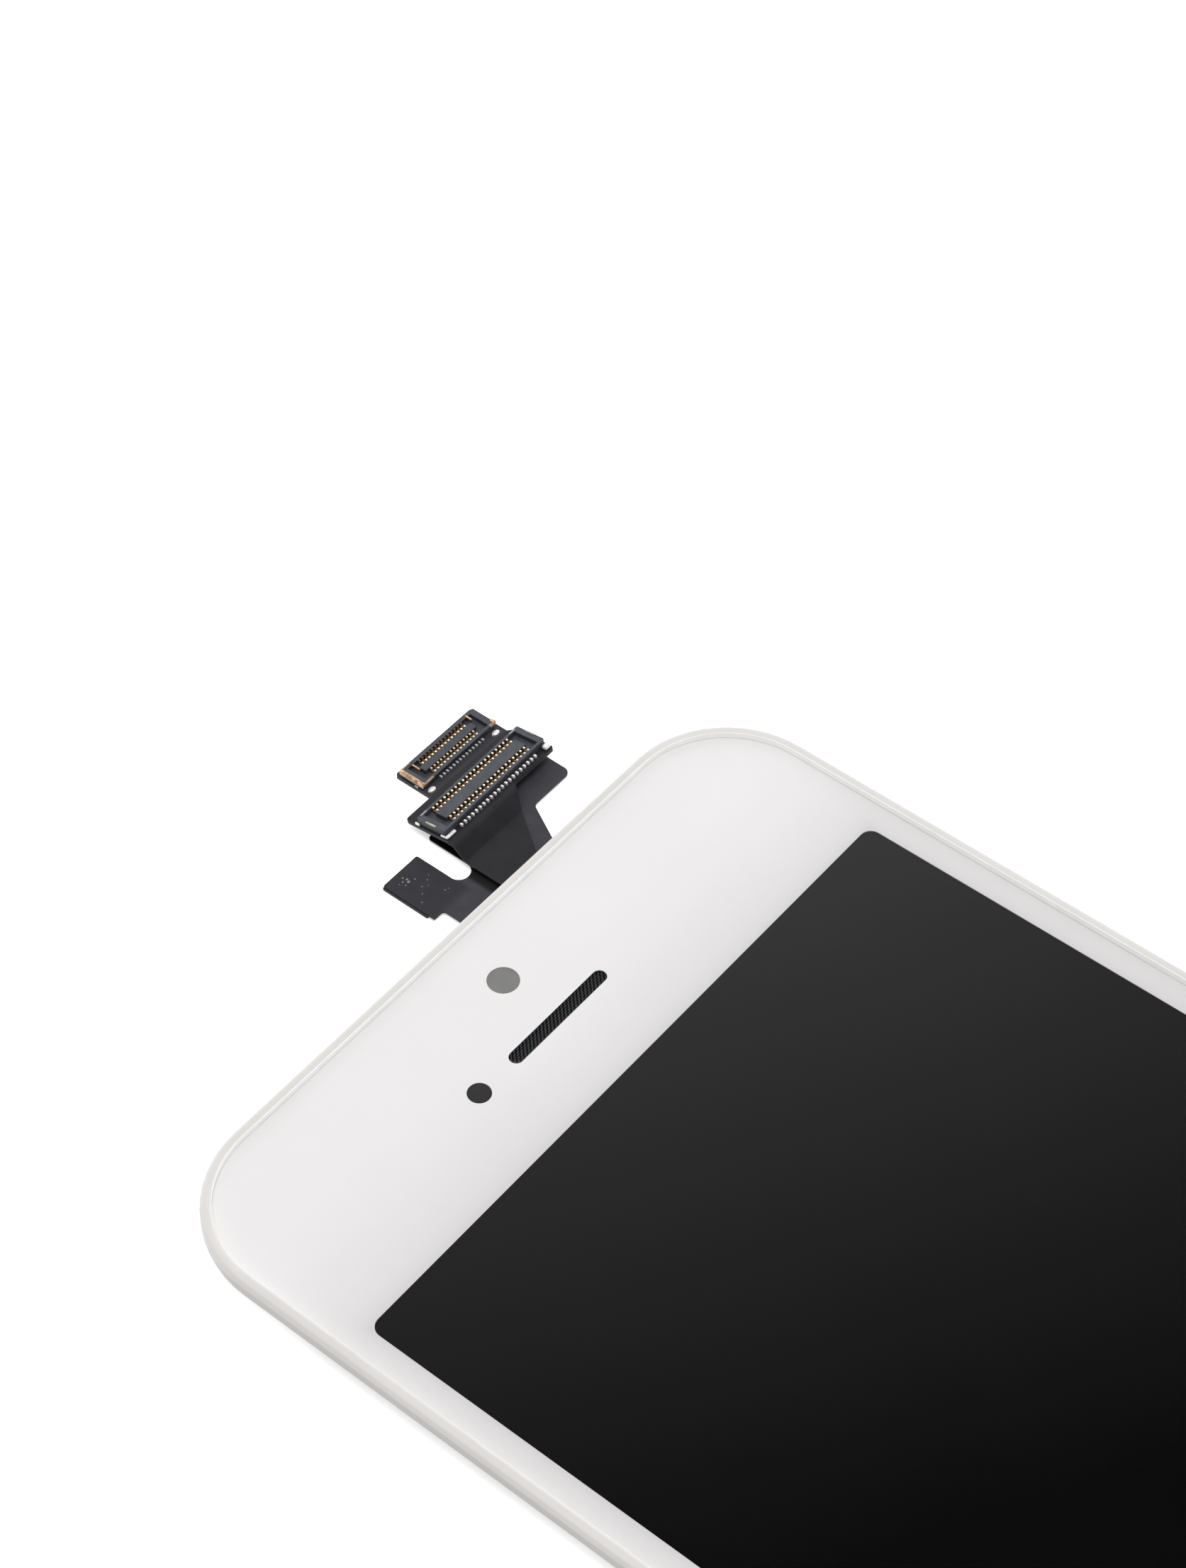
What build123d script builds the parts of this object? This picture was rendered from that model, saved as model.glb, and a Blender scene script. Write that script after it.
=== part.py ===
from build123d import *
import os
from math import cos, radians, sin, tan

os.makedirs("parts", exist_ok=True)

# Phone display assembly, lying screen up on the flat back of its steel tray.
# X runs across the width, Y runs towards the end that the connectors leave from,
# and Z points out of the screen. The origin is the centre of the panel's outline,
# on the plane that the assembly rests on. Sizes are in millimetres.

# Screen window, and the margins round it that make up the panel
window_width = 51.0
window_length = 89.6
window_corner_radius = 1.0
side_margin = 2.75
top_margin = 15.80
bottom_margin = 15.80
panel_corner_radius = 8.0

# Sheets and plates, from the back to the front
tray_sheet = 0.15
tray_emboss = 0.08
reflector_thickness = 0.08
guide_thickness = 0.60
diffuser_thickness = 0.06
prism_thickness = 0.07
polarizer_thickness = 0.13
cell_glass_thickness = 0.30
adhesive_thickness = 0.15
print_thickness = 0.05
glass_thickness = 0.55

# Height of the underside of each sheet
reflector_z = tray_emboss + tray_sheet
guide_z = reflector_z + reflector_thickness
diffuser_z = guide_z + guide_thickness
prism_lower_z = diffuser_z + diffuser_thickness
prism_upper_z = prism_lower_z + prism_thickness
rear_polarizer_z = prism_upper_z + prism_thickness
tft_z = rear_polarizer_z + polarizer_thickness
filter_z = tft_z + cell_glass_thickness
front_polarizer_z = filter_z + cell_glass_thickness
adhesive_z = front_polarizer_z + polarizer_thickness
print_z = adhesive_z + adhesive_thickness
glass_z = print_z + print_thickness
glass_top_z = glass_z + glass_thickness

# Panel outline, and the datum lines along Y
panel_width = window_width + 2 * side_margin
panel_length = window_length + top_margin + bottom_margin
panel_top = panel_length / 2
panel_bottom = -panel_length / 2
window_top = panel_top - top_margin
window_bottom = panel_bottom + bottom_margin
window_middle = (window_top + window_bottom) / 2

# Frame round the glass
rim_width = 0.65
rim_drop = 0.05
rim_edge_radius = 0.30
glass_gap = 0.06
seat_width = 0.50
end_seat_width = 0.95
seat_thickness = 0.45
seat_adhesive_thickness = 0.10
seat_adhesive_margin = 0.05
skirt_step = 0.12
skirt_step_depth = 0.90
skirt_depth = 1.40
skirt_wall = 0.85

# Cover glass
glass_edge_chamfer = 0.15
print_margin = 0.08
slot_x = -0.38
slot_rise = 5.96
slot_length = 9.65
slot_width = 1.20
button_hole_radius = 5.45
button_drop = 7.90
print_hole_margin = 0.10
camera_x = -0.25
camera_rise = 10.68
camera_window_radius = 1.10
sensor_x = -8.13
sensor_rise = 6.05
sensor_window_radius = 0.77

# Display cell
cell_side_margin = 0.80
cell_bottom_margin = 1.20
filter_top_margin = 1.50
tft_top_margin = 3.70
polarizer_side_margin = 0.35
polarizer_end_margin = 0.60
bond_step_clearance = 0.02
chip_length = 22.0
chip_width = 0.90
chip_thickness = 0.25
chip_rise = 2.15

# Backlight
mould_clearance = 0.10
mould_wall = 0.25
mould_ledge = 0.60
mould_wall_rise = 0.15
rim_tape_thickness = 0.06
film_clearance = 0.10
guide_top_margin = 0.95
tray_clearance = 0.02
tray_wall_height = 0.95
tray_corner_radius = 1.2
emboss_inset = 3.0
emboss_corner_radius = 4.0
latch_length = 4.0
latch_height = 0.30
latch_z = 0.45
latch_count = 4
latch_pitch = 21.0
led_pitch = 5.6
led_length = 3.0
led_depth = 0.60
led_height = 0.45
led_strip_thickness = 0.08
led_strip_width = 1.90
led_strip_end = 1.90
led_side_clearance = 2.50
led_gap = 0.10

# Pieces behind the top margin
mesh_thickness = 0.10
mesh_margin = 0.60
mesh_hole = 0.30
mesh_columns = 18
mesh_rows = 2
mesh_pitch = 0.54
gasket_thickness = 0.28
gasket_ring = 0.90
gasket_overlap = 0.15
window_film_thickness = 0.06
window_film_margin = 0.75
camera_ring_wall = 0.95
camera_ring_height = 0.90
camera_ring_flange = 0.35
camera_ring_flange_height = 0.30
sensor_filter_thickness = 0.12
sensor_filter_margin = 0.45
sensor_holder_wall = 0.30
sensor_holder_height = 0.70
holder_clearance = 0.05

# Steel pieces on the frame
rail_length = 84.0
rail_thickness = 0.22
rail_drop = 0.82
rail_window_length = 3.0
rail_window_height = 0.42
rail_window_rise = 0.17
rail_window_count = 4
rail_window_pitch = 22.0
lug_spacing = 12.0
lug_width = 2.4
lug_plate_length = 2.4
lug_plate_thickness = 0.40
lug_leg_thickness = 0.90
lug_leg_drop = 1.10
lug_hole_radius = 0.40
lug_hole_drop = 0.60
boss_spacing = 16.8
boss_radius = 1.20
boss_hole_radius = 0.40
boss_depth = 0.70
boss_reach = 2.60

# Flexible circuits, measured from the panel's top edge where they leave it
flex_thickness = 0.12
flex_bend_radius = 0.35
stiffener_thickness = 0.20
flex_gap = 0.12
fold_start = 3.95
fold_lag = 0.20
lower_bond_length = 0.90
upper_bond_length = 0.75
bond_gap = 0.10

# Lower circuit with its tail pad, slot, ear and end board
pad_left = 1.90
pad_right = 5.33
pad_near = 2.69
pad_far = 7.24
pad_stiffener_inset = 0.55
pad_stiffener_overhang = 0.10
neck_left = 2.83
slot_end = 3.36
strip_left = 7.01
strip_far = 7.70
lower_right = 12.42
lower_slant_start = 1.16
ear_near = 4.00
ear_slant_x = 13.95
ear_right = 17.92
ear_corner_radius = 0.55
end_board_left = 9.97
end_board_right = 18.06
end_board_near = 9.50
end_board_far = 13.22
board_corner_radius = 0.25
pad_corner_radius = 0.12

# Upper circuit with the near board, which droops away from the panel
upper_left = 6.85
upper_right = 10.60
upper_slant_start = 1.06
upper_slant_x = 13.93
rise_start = 4.17
rise_end = 5.30
near_board_top_z = 1.40
near_board_droop = 8.0
near_board_left = 7.00
near_board_right = 18.20
near_board_near = 5.75
near_board_far = 9.66
near_board_chamfer = 0.60

# Connector next to the panel
near_connector_x = 12.59
near_connector_reach = 7.56
near_connector_turn = 1.1
near_pitch = 0.40
near_contacts = 21
near_length = 10.9
near_width = 2.50
near_height = 0.52
near_tip = 0.58
near_root = 0.98
near_tail_reach = 1.62

# Connector at the far end
far_connector_x = 13.94
far_connector_reach = 11.79
far_pitch = 0.343
far_contacts = 14
far_length = 7.70
far_width = 2.12
far_height = 0.50
far_tip = 0.39
far_root = 0.76
far_tail_reach = 1.38

# Details that both connectors share
contact_width = 0.17
contact_gauge = 0.09
contact_clearance = 0.02
contact_proud = 0.02
housing_end_wall = 0.52
housing_floor = 0.14
housing_lift = 0.13
end_groove = 0.62
fitting_gauge = 0.10
fitting_length = 0.95
fitting_foot = 0.22
fitting_leg = 0.60
cap_reach = 1.20
cap_flange = 0.18
cap_tab = 0.60
solder_length = 0.66
solder_width = 0.46
solder_height = 0.07
solder_gap = 0.08

# Sizes worked out from the values above
seat_top_z = print_z - seat_adhesive_thickness
seat_bottom_z = seat_top_z - seat_thickness
rim_top_z = glass_top_z - rim_drop
skirt_bottom_z = rim_top_z - skirt_depth
glass_inset = rim_width + glass_gap
glass_width = panel_width - 2 * glass_inset
glass_length = panel_length - 2 * glass_inset
glass_corner_radius = panel_corner_radius - glass_inset
seat_inset = glass_inset + seat_width
end_seat_inset = glass_inset + end_seat_width
seat_opening_width = panel_width - 2 * seat_inset
seat_opening_length = panel_length - 2 * end_seat_inset
seat_opening_radius = panel_corner_radius - seat_inset
skirt_inner_inset = skirt_step + skirt_wall
slot_y = window_top + slot_rise
camera_y = window_top + camera_rise
sensor_y = window_top + sensor_rise
button_y = window_bottom - button_drop
cell_width = window_width + 2 * cell_side_margin
cell_bottom = window_bottom - cell_bottom_margin
filter_top = window_top + filter_top_margin
tft_top = window_top + tft_top_margin
polarizer_width = window_width + 2 * polarizer_side_margin
mould_width = cell_width + 2 * (mould_clearance + mould_wall)
mould_bottom = cell_bottom - mould_clearance - mould_wall
mould_top = tft_top + mould_clearance + mould_wall
opening_width = cell_width - 2 * mould_ledge
opening_bottom = cell_bottom + mould_ledge
opening_top = tft_top - mould_ledge
film_width = opening_width - 2 * film_clearance
film_bottom = opening_bottom + film_clearance
led_room = film_width - led_length - 2 * led_side_clearance
led_count = int(led_room / led_pitch) + 1
led_strip_length = (led_count - 1) * led_pitch + led_length + 2 * led_strip_end
film_top = window_top + guide_top_margin
tray_inset = tray_clearance + tray_sheet
tray_width = mould_width + 2 * tray_inset
tray_bottom = mould_bottom - tray_inset
tray_top = mould_top + tray_inset


def plate(width, bottom, top, z, thickness, radius=0.0):
    """A flat rectangular sheet between two Y lines, centred across the width."""
    with BuildPart() as sheet:
        with BuildSketch(Plane.XY.offset(z)):
            with Locations((0, (bottom + top) / 2)):
                if radius > 0:
                    RectangleRounded(width, top - bottom, radius)
                else:
                    Rectangle(width, top - bottom)
        extrude(amount=thickness)
    return sheet.part


def save(part, name):
    """Label a finished piece and write it out."""
    part.label = name
    export_step(part, f"parts/{name}.step")


# Cover glass, with the earpiece slot and the button hole cut through it
with BuildPart() as cover_glass:
    with BuildSketch(Plane.XY.offset(glass_z)):
        RectangleRounded(glass_width, glass_length, glass_corner_radius)
    extrude(amount=glass_thickness)
    front_edges = cover_glass.faces().sort_by(Axis.Z)[-1].edges()
    chamfer(front_edges, length=glass_edge_chamfer)
    with BuildSketch(Plane.XY.offset(glass_z)):
        with Locations((slot_x, slot_y)):
            SlotOverall(slot_length, slot_width)
        with Locations((0, button_y)):
            Circle(button_hole_radius)
    extrude(amount=glass_thickness, mode=Mode.SUBTRACT)
save(cover_glass.part, "cover_glass")

# White border printed on the back of the glass, open at the screen, the slot,
# the button hole, the camera and the sensor
with BuildPart() as printed_border:
    with BuildSketch(Plane.XY.offset(print_z)):
        RectangleRounded(
            glass_width - 2 * print_margin,
            glass_length - 2 * print_margin,
            glass_corner_radius - print_margin,
        )
        with Locations((0, window_middle)):
            RectangleRounded(
                window_width, window_length, window_corner_radius, mode=Mode.SUBTRACT
            )
        with Locations((slot_x, slot_y)):
            SlotOverall(
                slot_length + 2 * print_hole_margin,
                slot_width + 2 * print_hole_margin,
                mode=Mode.SUBTRACT,
            )
        with Locations((0, button_y)):
            Circle(button_hole_radius + print_hole_margin, mode=Mode.SUBTRACT)
        with Locations((camera_x, camera_y)):
            Circle(camera_window_radius, mode=Mode.SUBTRACT)
        with Locations((sensor_x, sensor_y)):
            Circle(sensor_window_radius, mode=Mode.SUBTRACT)
    extrude(amount=print_thickness)
save(printed_border.part, "printed_border")

# Clear bonding layer between the display and the glass, proud in the window
bond_bottom = window_bottom - polarizer_end_margin
bond_top = window_top + polarizer_end_margin
with BuildPart() as screen_adhesive:
    with BuildSketch(Plane.XY.offset(adhesive_z)):
        with Locations((0, (bond_bottom + bond_top) / 2)):
            Rectangle(polarizer_width, bond_top - bond_bottom)
    extrude(amount=adhesive_thickness)
    with BuildSketch(Plane.XY.offset(print_z)):
        with Locations((0, window_middle)):
            RectangleRounded(
                window_width - 2 * bond_step_clearance,
                window_length - 2 * bond_step_clearance,
                window_corner_radius,
            )
    extrude(amount=print_thickness)
save(screen_adhesive.part, "screen_adhesive")

# Display cell: two glasses with a polarizer on each side
save(plate(polarizer_width, bond_bottom, bond_top, front_polarizer_z, polarizer_thickness), "front_polarizer")
save(plate(cell_width, cell_bottom, filter_top, filter_z, cell_glass_thickness), "colour_filter_glass")
save(plate(cell_width, cell_bottom, tft_top, tft_z, cell_glass_thickness), "tft_glass")
save(plate(film_width, film_bottom, bond_top, rear_polarizer_z, polarizer_thickness), "rear_polarizer")

# Driver chip on the bare ledge of the rear glass
with BuildPart() as driver_chip:
    with BuildSketch(Plane.XY.offset(filter_z)):
        with Locations((0, window_top + chip_rise)):
            Rectangle(chip_length, chip_width)
    extrude(amount=chip_thickness)
save(driver_chip.part, "driver_chip")

# Backlight films, light guide and reflector
save(plate(film_width, film_bottom, film_top, prism_upper_z, prism_thickness), "prism_film_upper")
save(plate(film_width, film_bottom, film_top, prism_lower_z, prism_thickness), "prism_film_lower")
save(plate(film_width, film_bottom, film_top, diffuser_z, diffuser_thickness), "diffuser_film")
save(plate(film_width, film_bottom, film_top, guide_z, guide_thickness), "light_guide")
save(plate(film_width, film_bottom, film_top, reflector_z, reflector_thickness), "reflector_film")

# Strip of side-lighting diodes at the connector end of the light guide
strip_bottom = film_top + led_gap
with BuildPart() as led_strip:
    with BuildSketch(Plane.XY.offset(reflector_z)):
        with Locations((0, strip_bottom + led_strip_width / 2)):
            Rectangle(led_strip_length, led_strip_width)
    extrude(amount=led_strip_thickness)
save(led_strip.part, "led_strip")

with BuildPart() as leds:
    with BuildSketch(Plane.XY.offset(reflector_z + led_strip_thickness)):
        with Locations((0, strip_bottom + led_depth / 2)):
            with GridLocations(led_pitch, 1, led_count, 1):
                Rectangle(led_length, led_depth)
    extrude(amount=led_height)
save(leds.part, "backlight_leds")

# White moulded frame that holds the films and carries the cell on its ledge,
# open at one end for the circuits to leave over it
ledge_z = tft_z - rim_tape_thickness
mould_middle = (mould_bottom + mould_top) / 2
with BuildPart() as backlight_frame:
    with BuildSketch(Plane.XY.offset(reflector_z)):
        with Locations((0, mould_middle)):
            RectangleRounded(mould_width, mould_top - mould_bottom, tray_corner_radius - tray_inset)
        with Locations((0, (opening_bottom + opening_top) / 2)):
            Rectangle(opening_width, opening_top - opening_bottom, mode=Mode.SUBTRACT)
    extrude(amount=filter_z + mould_wall_rise - reflector_z)
    with BuildSketch(Plane.XY.offset(ledge_z)):
        with Locations((0, (cell_bottom + tft_top) / 2)):
            Rectangle(
                cell_width + 2 * mould_clearance,
                tft_top - cell_bottom + 2 * mould_clearance,
            )
    extrude(amount=filter_z, mode=Mode.SUBTRACT)
    with BuildSketch(Plane.XY.offset(ledge_z)):
        with Locations(((neck_left + lower_right) / 2, mould_top)):
            Rectangle(lower_right - neck_left + 1.0, 2 * (mould_clearance + mould_wall))
    extrude(amount=filter_z, mode=Mode.SUBTRACT)
save(backlight_frame.part, "backlight_frame")

# Black tape between the moulded ledge and the cell
with BuildPart() as rim_tape:
    with BuildSketch(Plane.XY.offset(ledge_z)):
        with Locations((0, (cell_bottom + tft_top) / 2)):
            Rectangle(cell_width, tft_top - cell_bottom)
        with Locations((0, (opening_bottom + opening_top) / 2)):
            Rectangle(opening_width, opening_top - opening_bottom, mode=Mode.SUBTRACT)
    extrude(amount=rim_tape_thickness)
save(rim_tape.part, "rim_tape")

# Folded steel tray: embossed base, four walls, and latch windows in the long walls
tray_middle = (tray_bottom + tray_top) / 2
tray_length = tray_top - tray_bottom
emboss_width = tray_width - 2 * emboss_inset
emboss_length = tray_length - 2 * emboss_inset
with BuildPart() as backlight_tray:
    with BuildSketch(Plane.XY.offset(tray_emboss)):
        with Locations((0, tray_middle)):
            RectangleRounded(tray_width, tray_length, tray_corner_radius)
    extrude(amount=tray_wall_height - tray_emboss)
    with BuildSketch(Plane.XY.offset(reflector_z)):
        with Locations((0, tray_middle)):
            RectangleRounded(
                tray_width - 2 * tray_sheet,
                tray_length - 2 * tray_sheet,
                tray_corner_radius - tray_sheet,
            )
    extrude(amount=tray_wall_height, mode=Mode.SUBTRACT)
    with BuildSketch(Plane.XY):
        with Locations((0, tray_middle)):
            RectangleRounded(emboss_width, emboss_length, emboss_corner_radius)
    extrude(amount=tray_sheet)
    with BuildSketch(Plane.XY.offset(tray_sheet)):
        with Locations((0, tray_middle)):
            RectangleRounded(
                emboss_width - 2 * tray_sheet,
                emboss_length - 2 * tray_sheet,
                emboss_corner_radius - tray_sheet,
            )
    extrude(amount=tray_emboss, mode=Mode.SUBTRACT)
    with BuildSketch(Plane.YZ.offset(-tray_width)):
        with Locations((tray_middle, latch_z + latch_height / 2)):
            with GridLocations(latch_pitch, 1, latch_count, 1):
                Rectangle(latch_length, latch_height)
    extrude(amount=2 * tray_width, mode=Mode.SUBTRACT)
save(backlight_tray.part, "backlight_tray")

# White plastic frame glued round the glass: rounded rim, seat for the glass,
# stepped skirt, and two screw bosses beside the button hole
boss_y = panel_bottom + end_seat_inset + boss_reach
with BuildPart() as bezel_frame:
    with BuildSketch(Plane.XY.offset(skirt_bottom_z)):
        RectangleRounded(
            panel_width - 2 * skirt_step,
            panel_length - 2 * skirt_step,
            panel_corner_radius - skirt_step,
        )
    extrude(amount=skirt_depth - skirt_step_depth)
    with BuildSketch(Plane.XY.offset(rim_top_z - skirt_step_depth)):
        RectangleRounded(panel_width, panel_length, panel_corner_radius)
    extrude(amount=skirt_step_depth)
    rim_edges = bezel_frame.faces().sort_by(Axis.Z)[-1].edges()
    fillet(rim_edges, radius=rim_edge_radius)
    with BuildSketch(Plane.XY.offset(seat_top_z)):
        RectangleRounded(
            glass_width + 2 * glass_gap,
            glass_length + 2 * glass_gap,
            glass_corner_radius + glass_gap,
        )
    extrude(amount=panel_width, mode=Mode.SUBTRACT)
    with BuildSketch(Plane.XY):
        RectangleRounded(seat_opening_width, seat_opening_length, seat_opening_radius)
    extrude(amount=panel_width, mode=Mode.SUBTRACT)
    with BuildSketch(Plane.XY):
        RectangleRounded(
            panel_width - 2 * skirt_inner_inset,
            panel_length - 2 * skirt_inner_inset,
            panel_corner_radius - skirt_inner_inset,
        )
    extrude(amount=seat_bottom_z, mode=Mode.SUBTRACT)
    with BuildSketch(Plane.XY.offset(seat_top_z)):
        with GridLocations(boss_spacing, 1, 2, 1):
            with Locations((0, boss_y)):
                Circle(boss_radius)
            with Locations((0, boss_y - boss_reach / 2 - seat_width / 2)):
                Rectangle(2 * boss_radius, boss_reach + seat_width)
    extrude(amount=-seat_thickness)
    with BuildSketch(Plane.XY.offset(seat_bottom_z)):
        with Locations((0, boss_y)):
            with GridLocations(boss_spacing, 1, 2, 1):
                Circle(boss_radius)
    extrude(amount=-boss_depth)
    with BuildSketch(Plane.XY.offset(seat_bottom_z - boss_depth)):
        with Locations((0, boss_y)):
            with GridLocations(boss_spacing, 1, 2, 1):
                Circle(boss_hole_radius)
    extrude(amount=boss_depth + seat_thickness, mode=Mode.SUBTRACT)
save(bezel_frame.part, "bezel_frame")

# Ring of adhesive between the frame's seat and the printed border
with BuildPart() as glass_adhesive:
    with BuildSketch(Plane.XY.offset(seat_top_z)):
        RectangleRounded(
            glass_width - 2 * seat_adhesive_margin,
            glass_length - 2 * seat_adhesive_margin,
            glass_corner_radius - seat_adhesive_margin,
        )
        RectangleRounded(
            seat_opening_width + 2 * seat_adhesive_margin,
            seat_opening_length + 2 * seat_adhesive_margin,
            seat_opening_radius,
            mode=Mode.SUBTRACT,
        )
    extrude(amount=seat_adhesive_thickness)
save(glass_adhesive.part, "glass_adhesive")

# Steel rails inside the skirt of the long sides, with clip windows below it
rail_x = panel_width / 2 - skirt_inner_inset - rail_thickness / 2
rail_bottom_z = skirt_bottom_z - rail_drop
for side, name in ((-1, "left_rail"), (1, "right_rail")):
    with BuildPart() as rail:
        with BuildSketch(Plane.XY.offset(rail_bottom_z)):
            with Locations((side * rail_x, 0)):
                Rectangle(rail_thickness, rail_length)
        extrude(amount=seat_bottom_z - rail_bottom_z)
        with BuildSketch(Plane.YZ.offset(side * rail_x - rail_thickness)):
            with Locations((0, rail_bottom_z + rail_window_rise + rail_window_height / 2)):
                with GridLocations(rail_window_pitch, 1, rail_window_count, 1):
                    Rectangle(rail_window_length, rail_window_height)
        extrude(amount=2 * rail_thickness, mode=Mode.SUBTRACT)
        ends = rail.edges().filter_by(Axis.X).group_by(Axis.Z)[0]
        fillet(ends, radius=rail_window_rise)
    save(rail.part, name)

# Threaded steel lugs at the bottom end, under the seat
lug_leg_y = panel_bottom + skirt_inner_inset + lug_leg_thickness / 2
lug_hole_z = skirt_bottom_z - lug_hole_drop
for side, name in ((-1, "left_screw_lug"), (1, "right_screw_lug")):
    lug_x = side * lug_spacing / 2
    with BuildPart() as lug:
        with BuildSketch(Plane.XY.offset(seat_bottom_z)):
            with Locations((lug_x, lug_leg_y - lug_leg_thickness / 2 + lug_plate_length / 2)):
                RectangleRounded(lug_width, lug_plate_length, 0.3)
        extrude(amount=-lug_plate_thickness)
        with BuildSketch(Plane.XY.offset(seat_bottom_z)):
            with Locations((lug_x, lug_leg_y)):
                Rectangle(lug_width, lug_leg_thickness)
        extrude(amount=-(seat_bottom_z - skirt_bottom_z + lug_leg_drop))
        with BuildSketch(Plane.XZ.offset(-lug_leg_y)):
            with Locations((lug_x, lug_hole_z)):
                Circle(lug_hole_radius)
        extrude(amount=lug_leg_thickness, both=True, mode=Mode.SUBTRACT)
    save(lug.part, name)

# Fine black mesh behind the earpiece slot
mesh_z = print_z - mesh_thickness
with BuildPart() as earpiece_mesh:
    with BuildSketch(Plane.XY.offset(mesh_z)):
        with Locations((slot_x, slot_y)):
            SlotOverall(slot_length + 2 * mesh_margin, slot_width + 2 * mesh_margin)
            with GridLocations(mesh_pitch, mesh_pitch, mesh_columns, mesh_rows):
                Rectangle(mesh_hole, mesh_hole, mode=Mode.SUBTRACT)
    extrude(amount=mesh_thickness)
save(earpiece_mesh.part, "earpiece_mesh")

# Foam gasket behind the mesh
gasket_inner_length = slot_length + 2 * gasket_overlap
gasket_inner_width = slot_width + 2 * gasket_overlap
with BuildPart() as earpiece_gasket:
    with BuildSketch(Plane.XY.offset(mesh_z - gasket_thickness)):
        with Locations((slot_x, slot_y)):
            SlotOverall(gasket_inner_length + 2 * gasket_ring, gasket_inner_width + 2 * gasket_ring)
            SlotOverall(gasket_inner_length, gasket_inner_width, mode=Mode.SUBTRACT)
    extrude(amount=gasket_thickness)
save(earpiece_gasket.part, "earpiece_gasket")

# Translucent film over the back of the camera window, and the ring round it
film_radius = camera_window_radius + window_film_margin
ring_bore_radius = film_radius + holder_clearance
with BuildPart() as camera_window_film:
    with BuildSketch(Plane.XY.offset(print_z - window_film_thickness)):
        with Locations((camera_x, camera_y)):
            Circle(film_radius)
    extrude(amount=window_film_thickness)
save(camera_window_film.part, "camera_window_film")

with BuildPart() as camera_ring:
    with BuildSketch(Plane.XY.offset(print_z - camera_ring_height)):
        with Locations((camera_x, camera_y)):
            Circle(ring_bore_radius + camera_ring_wall)
            Circle(ring_bore_radius, mode=Mode.SUBTRACT)
    extrude(amount=camera_ring_height)
    with BuildSketch(Plane.XY.offset(print_z - camera_ring_height)):
        with Locations((camera_x, camera_y)):
            Circle(ring_bore_radius + camera_ring_wall + camera_ring_flange)
            Circle(ring_bore_radius, mode=Mode.SUBTRACT)
    extrude(amount=camera_ring_flange_height)
save(camera_ring.part, "camera_ring")

# Dark filter over the back of the sensor window, in its square holder
filter_radius = sensor_window_radius + sensor_filter_margin
holder_bore_radius = filter_radius + holder_clearance
with BuildPart() as sensor_filter:
    with BuildSketch(Plane.XY.offset(print_z - sensor_filter_thickness)):
        with Locations((sensor_x, sensor_y)):
            Circle(filter_radius)
    extrude(amount=sensor_filter_thickness)
save(sensor_filter.part, "sensor_filter")

with BuildPart() as sensor_holder:
    with BuildSketch(Plane.XY.offset(print_z - sensor_holder_height)):
        with Locations((sensor_x, sensor_y)):
            RectangleRounded(
                2 * (holder_bore_radius + sensor_holder_wall),
                2 * (holder_bore_radius + sensor_holder_wall),
                0.4,
            )
            Circle(holder_bore_radius, mode=Mode.SUBTRACT)
    extrude(amount=sensor_holder_height)
save(sensor_holder.part, "sensor_holder")


def bent_strip(left, right, underside, thickness):
    """A flexible strip as wide as the circuit, bent along the line of its underside."""
    with BuildPart() as strip:
        with BuildSketch(Plane.YZ.offset(left)):
            with BuildLine():
                line = FilletPolyline(*underside, radius=flex_bend_radius)
                offset(line, amount=thickness, side=Side.LEFT)
            make_face()
        extrude(amount=right - left)
    return strip.part


# Lower circuit: bonded to the rear glass, folded down to the rest plane's level,
# then flat under the edge of the panel to the tail pad, the ear and the end board
lower_z = stiffener_thickness
lower_bond_y = tft_top - lower_bond_length
lower_fold_y = window_top + fold_start
lower_fold_drop = filter_z - lower_z
end_board_tip = panel_top + end_board_far
lower_underside = (
    (lower_bond_y, filter_z),
    (lower_fold_y, filter_z),
    (lower_fold_y + lower_fold_drop, lower_z),
    (end_board_tip, lower_z),
)
slot_radius = (strip_left - pad_right) / 2
slot_x_centre = (strip_left + pad_right) / 2
lower_slope = (ear_slant_x - lower_right) / (ear_near - lower_slant_start)
with BuildPart() as lower_flex:
    add(bent_strip(pad_left, end_board_right, lower_underside, flex_thickness))
    with BuildSketch(Plane.XY):
        with BuildLine():
            FilletPolyline(
                (neck_left, lower_bond_y),
                (lower_right, lower_bond_y),
                (lower_right, panel_top + lower_slant_start),
                (ear_slant_x, panel_top + ear_near),
                (ear_right, panel_top + ear_near),
                (ear_right, panel_top + strip_far),
                (end_board_right, panel_top + strip_far),
                (end_board_right, end_board_tip),
                (end_board_left, end_board_tip),
                (end_board_left, panel_top + strip_far),
                (strip_left, panel_top + strip_far),
                (strip_left, panel_top + slot_end + slot_radius),
                (pad_right, panel_top + slot_end + slot_radius),
                (pad_right, panel_top + pad_far),
                (pad_left, panel_top + pad_far),
                (pad_left, panel_top + pad_near),
                (neck_left, panel_top + pad_near),
                radius=[
                    0,
                    0,
                    0,
                    ear_corner_radius,
                    ear_corner_radius,
                    0,
                    0,
                    board_corner_radius,
                    board_corner_radius,
                    0,
                    board_corner_radius,
                    0,
                    0,
                    pad_corner_radius,
                    pad_corner_radius,
                    pad_corner_radius,
                    board_corner_radius,
                ],
                close=True,
            )
        make_face()
        with Locations((slot_x_centre, panel_top + slot_end + slot_radius)):
            Circle(slot_radius, mode=Mode.SUBTRACT)
    extrude(amount=glass_top_z, mode=Mode.INTERSECT)
save(lower_flex.part, "lower_flex")

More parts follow.
